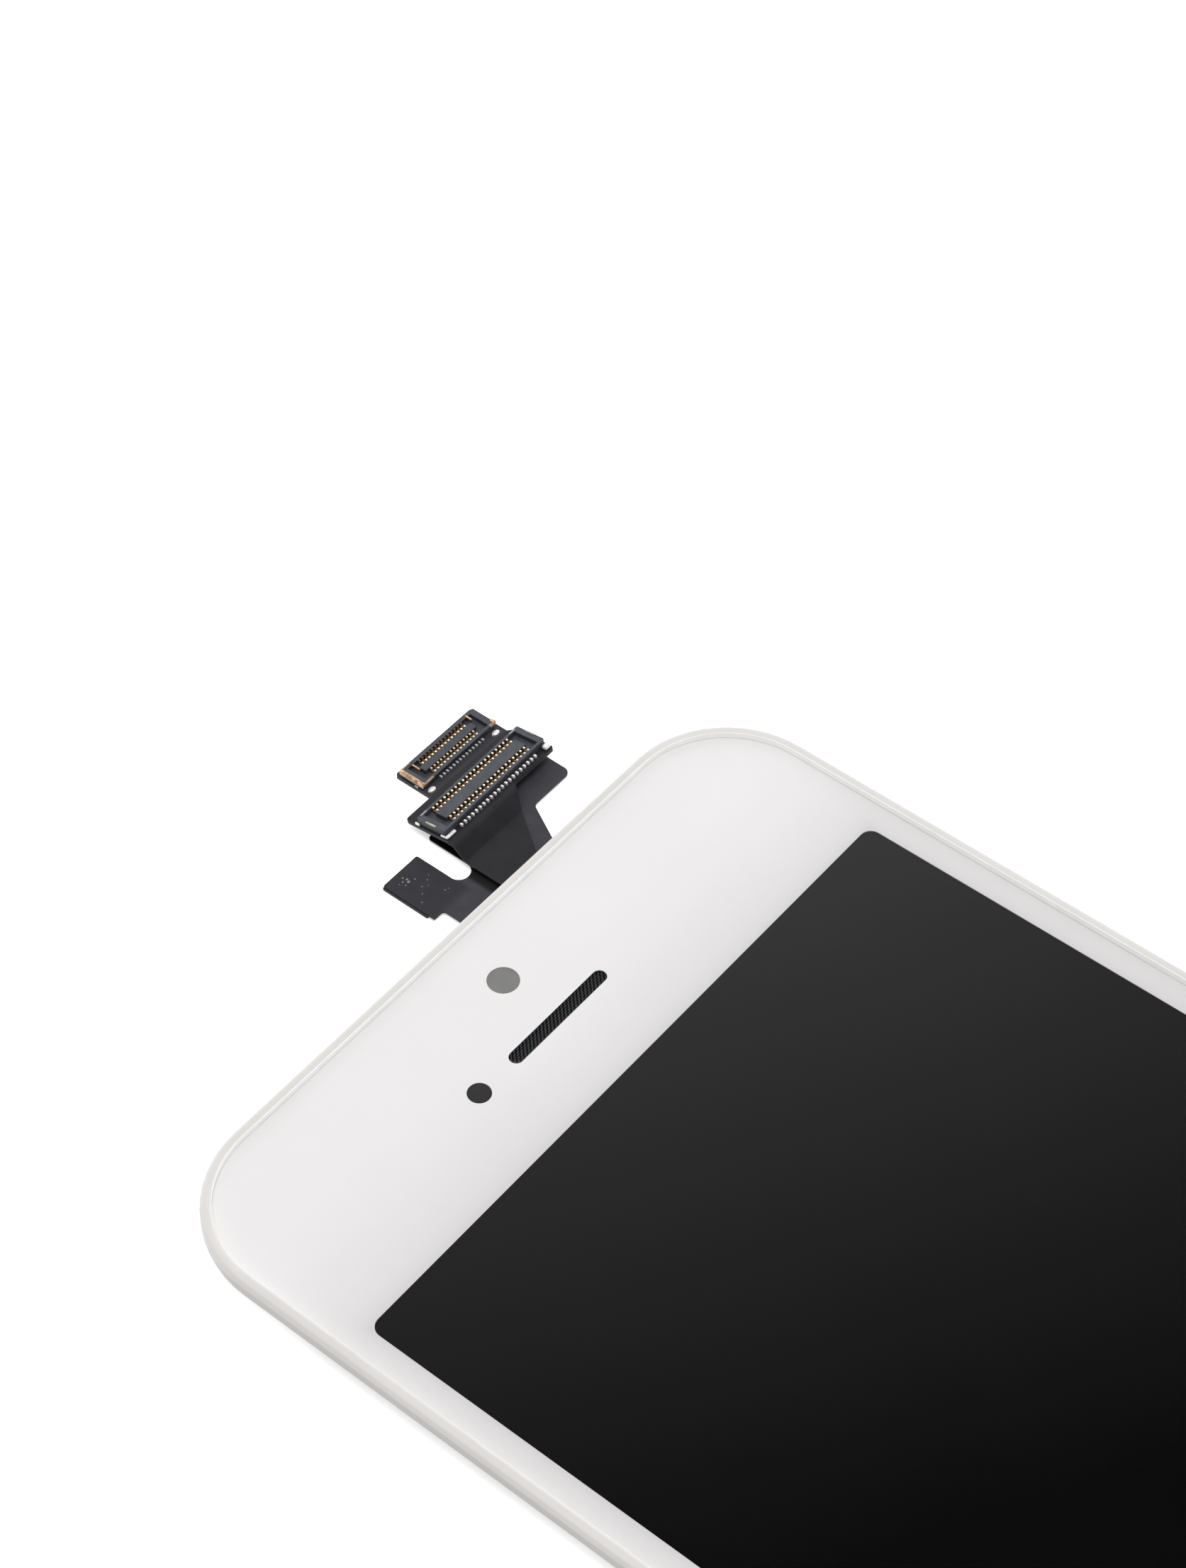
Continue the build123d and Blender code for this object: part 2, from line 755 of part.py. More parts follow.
# Stiffener plates under the tail pad and the end board, lying on the rest plane
with BuildPart() as tail_stiffener:
    with BuildSketch(Plane.XY):
        with Locations(
            ((pad_left + pad_right) / 2, panel_top + (pad_near + pad_stiffener_inset + pad_far) / 2)
        ):
            RectangleRounded(
                pad_right - pad_left + 2 * pad_stiffener_overhang,
                pad_far - pad_near - pad_stiffener_inset,
                pad_corner_radius,
            )
    extrude(amount=stiffener_thickness)
save(tail_stiffener.part, "tail_stiffener")

with BuildPart() as end_stiffener:
    with BuildSketch(Plane.XY):
        with Locations(
            ((end_board_left + end_board_right) / 2, panel_top + (end_board_near + end_board_far) / 2)
        ):
            RectangleRounded(
                end_board_right - end_board_left,
                end_board_far - end_board_near,
                board_corner_radius,
            )
    extrude(amount=stiffener_thickness)
save(end_stiffener.part, "end_stiffener")

# Upper circuit: bonded to the front glass, folded down over the lower circuit, then
# up to the near board, whose plane droops away from the panel
droop = radians(near_board_droop)
near_edge_y = panel_top + near_board_near
near_board = Plane(
    origin=(near_connector_x, near_edge_y, near_board_top_z),
    x_dir=(1, 0, 0),
    z_dir=(0, sin(droop), cos(droop)),
)
near_board_length = (near_board_far - near_board_near) / cos(droop)
upper_z = lower_z + flex_thickness + flex_gap
upper_bond_y = bond_top + bond_gap
upper_fold_y = lower_fold_y + fold_lag
upper_fold_drop = front_polarizer_z - upper_z
near_under_z = near_board_top_z - flex_thickness / cos(droop)
crest_y = panel_top + rise_end
crest_z = near_under_z + tan(droop) * (near_edge_y - crest_y)
tip_y = panel_top + near_board_far
tip_z = near_under_z - tan(droop) * (tip_y - near_edge_y)
upper_underside = (
    (upper_bond_y, front_polarizer_z),
    (upper_fold_y, front_polarizer_z),
    (upper_fold_y + upper_fold_drop, upper_z),
    (panel_top + rise_start, upper_z),
    (crest_y, crest_z),
    (tip_y, tip_z),
)
with BuildPart() as upper_flex:
    add(bent_strip(upper_left, near_board_right, upper_underside, flex_thickness))
    with BuildSketch(Plane.XY):
        with BuildLine():
            FilletPolyline(
                (upper_left, upper_bond_y),
                (upper_right, upper_bond_y),
                (upper_right, panel_top + upper_slant_start),
                (upper_slant_x, near_edge_y),
                (near_board_right, near_edge_y),
                (near_board_right, tip_y - near_board_chamfer),
                (near_board_right - near_board_chamfer, tip_y),
                (near_board_left, tip_y),
                (near_board_left, near_edge_y),
                (upper_left, near_edge_y),
                radius=[0, 0, 0, 0, board_corner_radius, 0, 0, board_corner_radius, 0, 0],
                close=True,
            )
        make_face()
    extrude(amount=glass_top_z, mode=Mode.INTERSECT)
save(upper_flex.part, "upper_flex")

# Stiffener plate under the near board, in the board's own plane
near_board_width = near_board_right - near_board_left
near_board_middle = (near_board_left + near_board_right) / 2 - near_connector_x
with BuildPart() as near_stiffener:
    with BuildSketch(near_board.offset(-flex_thickness)):
        with Locations((near_board_middle, near_board_length / 2)):
            RectangleRounded(near_board_width, near_board_length, board_corner_radius)
            corner = (near_board_width / 2, near_board_length / 2)
        with Locations((near_board_middle + corner[0], near_board_length)):
            with Locations(Location((0, 0, 0), (0, 0, 45))):
                Rectangle(
                    near_board_chamfer * 2**0.5,
                    near_board_chamfer * 2**0.5,
                    mode=Mode.SUBTRACT,
                )
    extrude(amount=-stiffener_thickness)
save(near_stiffener.part, "near_stiffener")


def housing(plane, length, width, height, tip, root, rows):
    """Moulded connector body: a ring of walls round a centre island, joined at the ends."""
    groove = root + contact_gauge / 2 + contact_clearance
    island = 2 * (tip - contact_gauge - contact_clearance)
    inner_length = length - 2 * housing_end_wall
    island_length = inner_length - 2 * end_groove
    rows_length = rows + contact_width + 2 * contact_clearance
    with BuildPart() as body:
        with BuildSketch(plane):
            RectangleRounded(length, width, 0.15)
            Rectangle(inner_length, 2 * groove, mode=Mode.SUBTRACT)
            Rectangle(island_length, island)
        extrude(amount=height)
        with BuildSketch(plane):
            Rectangle(inner_length, 2 * groove)
            Rectangle(rows_length, 2 * groove, mode=Mode.SUBTRACT)
        extrude(amount=housing_floor)
        with BuildSketch(plane):
            for edge in (-1, 1):
                with Locations((0, edge * (groove + width / 2) / 2)):
                    Rectangle(rows_length, width / 2 - groove)
        extrude(amount=housing_lift, mode=Mode.SUBTRACT)
    return body.part


def contact_rows(plane, pitch, count, height, tip, root, reach):
    """Two facing rows of formed contacts: a tail, a root in the wall and a curled tip."""
    gauge = contact_gauge
    top = height + contact_proud
    outer = root + gauge / 2
    with BuildPart() as rows:
        for face in (0, 180):
            side = Plane(plane.location * Location((0, 0, 0), (0, 0, face)))
            start = side.from_local_coords((-(count - 1) * pitch / 2 - contact_width / 2, 0, 0))
            across = Plane(origin=start, x_dir=side.y_dir, z_dir=side.x_dir)
            for number in range(count):
                with BuildSketch(across.offset(number * pitch)):
                    with BuildLine():
                        Polyline(
                            (reach, 0),
                            (reach, gauge),
                            (outer + 2 * gauge, gauge),
                            (outer, 1.4 * gauge),
                            (outer, top),
                            (outer - gauge, top),
                            (outer - gauge, gauge),
                            (tip, gauge),
                            (tip + 0.8 * gauge, top - gauge),
                            (tip, top),
                            (tip - gauge, top - gauge),
                            (tip - gauge, 0),
                            close=True,
                        )
                    make_face()
                extrude(amount=contact_width)
    return rows.part


# Connector next to the panel: housing, contacts and the four soldered fittings
near_centre = (near_connector_reach - near_board_near) / cos(droop)
near_plane = Plane(
    near_board.location * Location((0, near_centre, 0), (0, 0, near_connector_turn))
)
near_housing = housing(
    near_plane,
    near_length,
    near_width,
    near_height,
    near_tip,
    near_root,
    (near_contacts - 1) * near_pitch,
)
save(near_housing, "near_connector_housing")
near_rows = contact_rows(
    near_plane, near_pitch, near_contacts, near_height, near_tip, near_root, near_tail_reach
)
save(near_rows, "near_connector_contacts")

fitting_x = near_length / 2 - fitting_length / 2
with BuildPart() as near_fittings:
    for face_x in (-1, 1):
        for face_y in (-1, 1):
            wall_y = face_y * near_width / 2
            wall_x = face_x * near_length / 2
            with BuildSketch(near_plane):
                with Locations((face_x * fitting_x, wall_y + face_y * fitting_foot / 2)):
                    Rectangle(fitting_length, fitting_foot)
                with Locations((wall_x + face_x * fitting_gauge / 2, wall_y - face_y * 0.1)):
                    Rectangle(fitting_gauge, fitting_leg + fitting_foot)
            extrude(amount=fitting_gauge)
            with BuildSketch(near_plane):
                with Locations((wall_x + face_x * fitting_gauge / 2, wall_y - face_y * fitting_leg / 2)):
                    Rectangle(fitting_gauge, fitting_leg)
            extrude(amount=near_height - fitting_gauge)
save(near_fittings.part, "near_connector_fittings")

# Connector on the end board: housing, contacts, the two metal end caps and solder
far_plane = Plane(
    origin=(far_connector_x, panel_top + far_connector_reach, lower_z + flex_thickness)
)
far_housing = housing(
    far_plane,
    far_length,
    far_width,
    far_height,
    far_tip,
    far_root,
    (far_contacts - 1) * far_pitch,
)
save(far_housing, "far_connector_housing")
far_rows = contact_rows(
    far_plane, far_pitch, far_contacts, far_height, far_tip, far_root, far_tail_reach
)
save(far_rows, "far_connector_contacts")

with BuildPart() as far_caps:
    for face in (0, 180):
        cap_plane = Plane(far_plane.location * Location((0, 0, 0), (0, 0, face)))
        cap_x = far_length / 2 - cap_reach / 2 + fitting_gauge / 2
        with BuildSketch(cap_plane):
            with Locations((cap_x, 0)):
                Rectangle(cap_reach + fitting_gauge, far_width + 2 * fitting_gauge)
            with Locations((cap_x - fitting_gauge, 0)):
                Rectangle(cap_reach + fitting_gauge, far_width, mode=Mode.SUBTRACT)
        extrude(amount=far_height)
        with BuildSketch(cap_plane.offset(far_height)):
            with Locations((far_length / 2 + fitting_gauge - cap_flange / 2, 0)):
                Rectangle(cap_flange, far_width + 2 * fitting_gauge)
        extrude(amount=fitting_gauge / 2)
save(far_caps.part, "far_connector_caps")

solder_reach = far_width / 2 + fitting_gauge + solder_gap + solder_width / 2
with BuildPart() as solder_pads:
    with BuildSketch(far_plane):
        with Locations((0, -solder_reach)):
            with GridLocations(far_length - cap_reach + solder_length / 2, 1, 2, 1):
                RectangleRounded(solder_length, solder_width, solder_width / 3)
    extrude(amount=solder_height)
save(solder_pads.part, "solder_pads")
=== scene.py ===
import math

import bpy
from mathutils import Matrix, Vector


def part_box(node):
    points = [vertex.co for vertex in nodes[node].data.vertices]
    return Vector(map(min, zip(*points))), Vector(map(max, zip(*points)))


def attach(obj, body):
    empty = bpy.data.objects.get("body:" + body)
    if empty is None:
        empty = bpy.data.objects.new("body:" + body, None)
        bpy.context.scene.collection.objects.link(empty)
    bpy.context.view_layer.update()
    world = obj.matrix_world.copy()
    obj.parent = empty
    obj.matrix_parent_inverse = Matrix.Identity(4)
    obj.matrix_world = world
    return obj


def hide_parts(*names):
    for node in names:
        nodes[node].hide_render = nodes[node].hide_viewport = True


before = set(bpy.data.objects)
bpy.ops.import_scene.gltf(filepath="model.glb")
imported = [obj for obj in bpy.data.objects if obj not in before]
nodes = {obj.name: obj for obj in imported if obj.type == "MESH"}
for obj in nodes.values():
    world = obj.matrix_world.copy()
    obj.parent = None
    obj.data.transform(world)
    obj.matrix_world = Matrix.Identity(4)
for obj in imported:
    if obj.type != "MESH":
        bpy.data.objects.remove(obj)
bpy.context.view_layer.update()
MM = 0.001


# Camera, standing in front of the panel's lower left corner and looking down across
# the connector end. Its place and turn are solved from the panel's straight edges.
camera_data = bpy.data.cameras.new("camera")
camera_data.lens = 75.52
camera_data.sensor_width = 36.0
camera_data.clip_start = 0.01
camera_data.clip_end = 5.0
camera = bpy.data.objects.new("camera", camera_data)
bpy.context.collection.objects.link(camera)
camera.location = (-100.25 * MM, -30.84 * MM, 170.71 * MM)
camera.rotation_mode = "QUATERNION"
camera.rotation_quaternion = (0.8443615, 0.3178792, -0.1564263, -0.4019170)
bpy.context.scene.camera = camera
bpy.context.scene.view_settings.view_transform = "Standard"


# Soft studio: a pale light table under the part, a wide lamp overhead, and a grey
# room whose lit side is what the black screen mirrors.
def start_material(name):
    """A new material with its node tree and its principled shader."""
    material = bpy.data.materials.new(name)
    material.use_nodes = True
    return material, material.node_tree, material.node_tree.nodes["Principled BSDF"]


def add_node(tree, kind, inputs=None, **settings):
    """Adds a node, with its sockets filled from plain values or from other sockets."""
    node = tree.nodes.new(kind)
    for key, value in settings.items():
        setattr(node, key, value)
    for key, value in (inputs or {}).items():
        if isinstance(value, bpy.types.NodeSocket):
            tree.links.new(value, node.inputs[key])
        else:
            node.inputs[key].default_value = value
    return node


def set_shader(shader, **values):
    """Sets the principled shader's own sockets, named with underscores for spaces."""
    for key, value in values.items():
        shader.inputs[key.replace("_", " ")].default_value = value


def object_place(tree):
    """A point's place in object space, as a socket."""
    return add_node(tree, "ShaderNodeTexCoord").outputs["Object"]


def object_noise(tree, size, detail=3.0, stretch=(1.0, 1.0, 1.0)):
    """Noise in object space whose blotches are about size metres across."""
    mapping = add_node(tree, "ShaderNodeMapping", {"Vector": object_place(tree), "Scale": stretch})
    inputs = {"Vector": mapping.outputs["Vector"], "Scale": 1.0 / size, "Detail": detail}
    return add_node(tree, "ShaderNodeTexNoise", inputs).outputs["Fac"]


def ramp(tree, factor, steps):
    """A colour ramp through (place, colour) steps."""
    node = add_node(tree, "ShaderNodeValToRGB", {"Fac": factor})
    elements = node.color_ramp.elements
    while len(elements) < len(steps):
        elements.new(0.5)
    for element, (place, colour) in zip(elements, steps):
        element.position = place
        element.color = (*colour, 1.0)
    return node.outputs["Color"]


def math_node(tree, operation, *values):
    """The result of one arithmetic step on sockets or plain numbers."""
    sockets = dict(enumerate(values))
    return add_node(tree, "ShaderNodeMath", sockets, operation=operation).outputs[0]


def bump(tree, shader, height, depth):
    """Bumps the shader's surface at half strength by a height pattern, depth in metres."""
    inputs = {"Height": height, "Distance": depth, "Strength": 0.5}
    node = add_node(tree, "ShaderNodeBump", inputs)
    tree.links.new(node.outputs["Normal"], shader.inputs["Normal"])


def two_tones(tree, dark, light, blotch):
    """A colour that drifts between two tones in blotches about blotch metres across."""
    return ramp(tree, object_noise(tree, blotch), [(0.3, dark), (0.7, light)])


def mottled(name, dark, light, blotch, grain, grain_depth, **values):
    """A finish in two drifting tones over a fine surface grain, its sizes in metres."""
    material, tree, shader = start_material(name)
    tree.links.new(two_tones(tree, dark, light, blotch), shader.inputs["Base Color"])
    bump(tree, shader, object_noise(tree, grain), grain_depth)
    set_shader(shader, **values)
    return material


table_size = 6.0
table_drop = 0.01 * MM
bpy.ops.object.select_all(action="DESELECT")
bpy.ops.mesh.primitive_plane_add(size=table_size, location=(0.0, 0.0, -table_drop))
table = bpy.context.object
table.name = "table"
table_finish = mottled(
    "table_card",
    dark=(0.955, 0.955, 0.955),
    light=(0.975, 0.975, 0.975),
    blotch=0.05,
    grain=0.002,
    grain_depth=0.00001,
    Roughness=0.9,
    Specular_IOR_Level=0.1,
    Emission_Color=(1.0, 1.0, 1.0, 1.0),
    Emission_Strength=0.48,
)
table.data.materials.append(table_finish)

world = bpy.data.worlds.new("room")
world.use_nodes = True
world_tree = world.node_tree
direction = add_node(world_tree, "ShaderNodeTexCoord").outputs["Generated"]


def vector_node(tree, operation, *values):
    """One arithmetic step on vector sockets or plain vectors."""
    return add_node(tree, "ShaderNodeVectorMath", dict(enumerate(values)), operation=operation)


def spread(tree, value, low, high, bottom, top):
    """A value remapped from low..high to bottom..top, and held between those two."""
    inputs = {"Value": value, "From Min": low, "From Max": high, "To Min": bottom, "To Max": top}
    return add_node(tree, "ShaderNodeMapRange", inputs).outputs["Result"]


def along(axis, low, high, bottom, top):
    """How far a direction leans towards axis, remapped from low..high to bottom..top."""
    lean = vector_node(world_tree, "DOT_PRODUCT", direction, axis)
    return spread(world_tree, lean.outputs["Value"], low, high, bottom, top)


dark_panel = along((0.46, 0.29, 0.84), 0.915, 0.965, 1.0, 0.0)
bright_side = along((0.74, 0.64, 0.20), -0.35, 0.45, 0.22, 1.05)
wall_light = math_node(world_tree, "MULTIPLY", dark_panel, bright_side)
panel_slope = along((0.62, 0.785, 0.0), 0.44, 0.64, 0.30, 1.237)
panel_light = math_node(world_tree, "POWER", panel_slope, 2.0)
room_light = math_node(world_tree, "MAXIMUM", wall_light, panel_light)
background = world_tree.nodes["Background"]
background.inputs["Color"].default_value = (1.0, 1.0, 1.0, 1.0)
world_tree.links.new(room_light, background.inputs["Strength"])
bpy.context.scene.world = world


def lamp(name, place, aim, size, power):
    """A square soft lamp at place, facing aim."""
    data = bpy.data.lights.new(name, "AREA")
    data.shape = "SQUARE"
    data.size = size
    data.energy = power
    light = bpy.data.objects.new(name, data)
    light.location = place
    light.rotation_mode = "QUATERNION"
    light.rotation_quaternion = (Vector(aim) - Vector(place)).to_track_quat("-Z", "Y")
    bpy.context.collection.objects.link(light)


lamp("overhead_lamp", place=(-0.06, -0.06, 0.80), aim=(0.0, 0.02, 0.0), size=0.50, power=3.20)


# Cover glass: one clear plate with the earpiece slot and the button hole cut through
# it. Its ground edges glow faintly with painted light, which stands in for the light that
# the plate carries to them. It lies on its print and is held by glue.
def box_of(name):
    """The lowest and highest corners of a CAD node."""
    low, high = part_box(name)
    return Vector(low), Vector(high)


def block(name, low, high):
    """A plain block between two corners."""
    bpy.ops.object.select_all(action="DESELECT")
    bpy.ops.mesh.primitive_cube_add(size=1.0, location=(Vector(low) + Vector(high)) / 2)
    piece = bpy.context.object
    piece.name = name
    piece.scale = Vector(high) - Vector(low)
    bpy.ops.object.transform_apply(location=True, rotation=True, scale=True)
    return piece


micron = 0.001 * MM


def round_edges(piece, chosen, width, segments):
    """Rounds the edges of a mesh for which chosen(start, end) holds."""
    bpy.ops.object.mode_set(mode="EDIT")
    bpy.ops.mesh.select_mode(type="EDGE")
    bpy.ops.mesh.select_all(action="DESELECT")
    bpy.ops.object.mode_set(mode="OBJECT")
    points = piece.data.vertices
    for edge in piece.data.edges:
        start, end = edge.vertices
        edge.select = chosen(points[start].co, points[end].co)
    bpy.ops.object.mode_set(mode="EDIT")
    bpy.ops.mesh.bevel(offset=width, segments=segments, profile=0.5, affect="EDGES")
    bpy.ops.object.mode_set(mode="OBJECT")


def upright(start, end):
    """Whether an edge stands along Z."""
    return abs(start.x - end.x) + abs(start.y - end.y) < 0.1 * micron


def slab(name, low, high, radius, segments):
    """A flat plate between two corners, with its four upright edges rounded."""
    plate = block(name, low, high)
    round_edges(plate, upright, radius, segments)
    return plate


def pick(piece):
    """Makes a piece the active one, and the only one selected."""
    bpy.ops.object.select_all(action="DESELECT")
    piece.select_set(True)
    bpy.context.view_layer.objects.active = piece


def cut(piece, cutter):
    """Takes the cutter's shape out of a piece, and removes the cutter."""
    modifier = piece.modifiers.new("cut", "BOOLEAN")
    modifier.operation = "DIFFERENCE"
    modifier.solver = "EXACT"
    modifier.object = cutter
    pick(piece)
    bpy.ops.object.modifier_apply(modifier=modifier.name)
    bpy.data.objects.remove(cutter)


def smooth_below(degrees):
    """Shades the active piece smooth where its faces meet at a smaller angle."""
    bpy.ops.object.shade_smooth_by_angle(angle=math.radians(degrees))


def finished(piece, finish):
    """A piece with its finish."""
    piece.data.materials.clear()
    piece.data.materials.append(finish)
    return piece


def fit(piece, finish, slot_name, *stands_for):
    """Gives a new piece its finish and body, hides the CAD nodes it stands for. slot_name is not
    used.
    """
    if finish is not None:
        finished(piece, finish)
    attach(piece, "root")
    if stands_for:
        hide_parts(*stands_for)


def dress(finish, *names):
    """Gives CAD nodes a finish."""
    for name in names:
        finished(nodes[name], finish)


def clear_glass(name, tint, haze):
    """See-through glass whose mirror share rises with the angle, the same on both sides."""
    material, tree, shader = start_material(name)
    tree.nodes.remove(shader)
    least_share = 0.04
    facing = add_node(tree, "ShaderNodeLayerWeight", {"Blend": 0.5}).outputs["Facing"]
    fifth = math_node(tree, "POWER", facing, 5.0)
    share = math_node(tree, "MULTIPLY_ADD", fifth, 1.0 - least_share, least_share)
    clear = add_node(tree, "ShaderNodeBsdfTransparent", {"Color": tint})
    wipe_marks = object_noise(tree, 0.006)
    roughness = math_node(tree, "MULTIPLY_ADD", wipe_marks, 0.5 * haze, 0.75 * haze)
    mirror = add_node(tree, "ShaderNodeBsdfGlossy", {"Roughness": roughness})
    inputs = {0: share, 1: clear.outputs[0], 2: mirror.outputs[0]}
    mixed = add_node(tree, "ShaderNodeMixShader", inputs)
    tree.links.new(mixed.outputs[0], tree.nodes["Material Output"].inputs["Surface"])
    return material


def see_through(name, dark, light):
    """A clear finish without a shine of its own, for faces bonded inside the stack."""
    material, tree, shader = start_material(name)
    tree.nodes.remove(shader)
    tint = two_tones(tree, dark, light, 0.01)
    clear = add_node(tree, "ShaderNodeBsdfTransparent", {"Color": tint})
    tree.links.new(clear.outputs[0], tree.nodes["Material Output"].inputs["Surface"])
    return material


deep = Vector((0.0, 0.0, 5.0 * MM))
end_segments = 10


def drill(piece, centre, radius):
    """Drills a round hole through a flat piece."""
    depth = 2 * deep.z
    bpy.ops.object.select_all(action="DESELECT")
    bpy.ops.mesh.primitive_cylinder_add(vertices=72, radius=radius, depth=depth, location=centre)
    cut(piece, bpy.context.object)


def cut_slot(piece, centre, length, width):
    """Cuts a round-ended slot through a flat piece."""
    half = Vector((length / 2, width / 2, 0.0))
    low = centre - half - deep
    high = centre + half + deep
    cut(piece, slab("slot_cutter", low, high, 0.499 * width, end_segments))


bond_line = 0.005 * MM
glass_low, glass_high = box_of("cover_glass")
glass_low.z += bond_line
side_step = glass_low.x - box_of("bezel_frame")[0].x
panel_radius = 8.0 * MM
glass_radius = panel_radius - side_step
corner_segments = 24
rim_round = 0.06 * MM
slot_centre = Vector((-0.38 * MM, 50.76 * MM, 0.0))
slot_length = 9.65 * MM
slot_width = 1.20 * MM
button_centre = Vector((0.0, -52.70 * MM, 0.0))
button_radius = 5.45 * MM
facing_up = 0.99


def top_rim(start, end):
    """Whether an edge lies on the rim of the glass's front face."""
    return min(start.z, end.z) > glass_high.z - micron


glass = slab("cover_glass_polished", glass_low, glass_high, glass_radius, corner_segments)
round_edges(glass, top_rim, rim_round, segments=3)
cut_slot(glass, slot_centre, slot_length, slot_width)
drill(glass, button_centre, button_radius)
smooth_below(20.0)
front_finish = clear_glass("polished_glass", tint=(0.985, 0.985, 0.983, 1.0), haze=0.03)
inner_finish = see_through("glass_inside", (0.985, 0.985, 0.983), (0.992, 0.992, 0.990))
# Painted glow: the ground edge emits a faint light of its own, though it is no lamp.
glowing_edge_finish = mottled(
    "ground_edge_painted_glow",
    dark=(0.42, 0.415, 0.41),
    light=(0.48, 0.475, 0.47),
    blotch=0.002,
    grain=0.0001,
    grain_depth=0.000002,
    Roughness=0.4,
    Specular_IOR_Level=0.3,
    Emission_Color=(1.0, 0.99, 0.98, 1.0),
    Emission_Strength=0.46,
)
glass_finishes = [front_finish, inner_finish, glowing_edge_finish]
for finish in glass_finishes:
    glass.data.materials.append(finish)
for face in glass.data.polygons:
    face.use_smooth = abs(face.normal.z) < facing_up
    by_slot = (face.center - slot_centre).length < 0.6 * slot_length
    finish = glowing_edge_finish
    if face.normal.z > facing_up:
        finish = front_finish
    elif face.normal.z < -facing_up or by_slot:
        finish = inner_finish
    face.material_index = glass_finishes.index(finish)
fit(glass, None, "cover_glass", "cover_glass")


# Border print: white ink in several coats on the back of the glass, left out at the
# window, the slot and the openings for the camera and the sensor. It is a little
# see-through, so it turns greyer where the dark display lies right behind it.
def scaled(tree, tone, factor):
    """A tone made darker or lighter by a factor."""
    inputs = {0: tone, "Scale": factor}
    return add_node(tree, "ShaderNodeVectorMath", inputs, operation="SCALE").outputs[0]


window_half = Vector((25.5 * MM, 44.8 * MM, 0.0))
any_height = Vector((0.0, 0.0, 10.0))
fade_width = 9.0 * MM
ink_finish, ink_tree, ink_shader = start_material("white_ink")
mirrored = vector_node(ink_tree, "ABSOLUTE", object_place(ink_tree))
beyond = vector_node(ink_tree, "SUBTRACT", mirrored.outputs[0], window_half + any_height)
outside = vector_node(ink_tree, "MAXIMUM", beyond.outputs[0], (0.0, 0.0, 0.0))
from_window = vector_node(ink_tree, "LENGTH", outside.outputs[0])
share_of_fade = math_node(ink_tree, "DIVIDE", from_window.outputs["Value"], fade_width)
ink_steps = [
    (0.000, (0.660, 0.645, 0.650)),
    (0.060, (0.715, 0.698, 0.704)),
    (0.140, (0.745, 0.726, 0.733)),
    (0.330, (0.775, 0.757, 0.763)),
    (0.600, (0.806, 0.790, 0.796)),
    (1.000, (0.832, 0.817, 0.822)),
]
ink_tone = ramp(ink_tree, share_of_fade, ink_steps)
ink_cloud = math_node(ink_tree, "MULTIPLY_ADD", object_noise(ink_tree, 0.01), 0.02, 0.99)
ink_tree.links.new(scaled(ink_tree, ink_tone, ink_cloud), ink_shader.inputs["Base Color"])
set_shader(ink_shader, Roughness=0.6, Specular_IOR_Level=0.2)
ink_low, ink_high = box_of("printed_border")
ink_growth = Vector((0.07 * MM, 0.07 * MM, 0.0))
ink_radius = glass_radius - 0.01 * MM
window_radius = 0.85 * MM
ink_slot_centre = Vector((-0.26, 50.85, 0.0)) * MM
ink_slot_length = 9.46 * MM
ink_slot_width = 1.02 * MM
button_clearance = 0.10 * MM
camera_centre = Vector((-0.25, 55.48, 0.0)) * MM
camera_radius = 1.10 * MM
sensor_centre = Vector((-8.13, 50.85, 0.0)) * MM
sensor_radius = 0.81 * MM
ink = slab("white_print", ink_low - ink_growth, ink_high + ink_growth, ink_radius, corner_segments)
cut(ink, slab("window_cutter", -window_half, window_half + deep, window_radius, end_segments))
cut_slot(ink, ink_slot_centre, ink_slot_length, ink_slot_width)
drill(ink, button_centre, button_radius + button_clearance)
drill(ink, camera_centre, camera_radius)
drill(ink, sensor_centre, sensor_radius)
smooth_below(20.0)
fit(ink, ink_finish, "border_print", "printed_border")

# Bonding layer: clear adhesive between the display and the glass, with a raised
# middle that fills the window in the print.
bond_low, bond_high = box_of("screen_adhesive")
step_height = 0.05 * MM
step_inset = 0.03 * MM
bond_low.z += bond_line
bond_high.z -= bond_line
ledge_z = bond_high.z - step_height
bond = block("screen_bond", bond_low, (bond_high.x, bond_high.y, ledge_z))
bpy.ops.object.mode_set(mode="EDIT")
bpy.ops.mesh.select_mode(type="FACE")
bpy.ops.mesh.select_all(action="DESELECT")
bpy.ops.object.mode_set(mode="OBJECT")
for face in bond.data.polygons:
    face.select = face.normal.z > facing_up
bpy.ops.object.mode_set(mode="EDIT")
bpy.ops.mesh.inset(thickness=0.0)
step_shape = (
    2 * (window_half.x - step_inset) / (bond_high.x - bond_low.x),
    2 * (window_half.y - step_inset) / (bond_high.y - bond_low.y),
    1.0,
)
bpy.ops.transform.resize(value=step_shape)
bpy.ops.mesh.extrude_region_move(TRANSFORM_OT_translate={"value": (0.0, 0.0, step_height)})
bpy.ops.object.mode_set(mode="OBJECT")


def step_corner(start, end):
    """Whether an edge is an upright corner of the raised middle."""
    return upright(start, end) and min(start.z, end.z) > ledge_z - micron


round_edges(bond, step_corner, window_radius, segments=6)
bond_finish = see_through("clear_bond", (0.975, 0.975, 0.97), (0.99, 0.99, 0.985))
fit(bond, bond_finish, "clear_adhesive", "screen_adhesive")

# Polarizers: stretched dark film laminated to both sides of the cell. Under the
# glass they look black when the display is off.
polarizer_finish = mottled(
    "polarizing_film",
    dark=(0.0008, 0.0007, 0.0009),
    light=(0.0016, 0.0015, 0.0018),
    blotch=0.01,
    grain=0.002,
    grain_depth=0.0000005,
    Roughness=0.5,
    Specular_IOR_Level=0.0,
)
dress(polarizer_finish, "front_polarizer", "rear_polarizer")

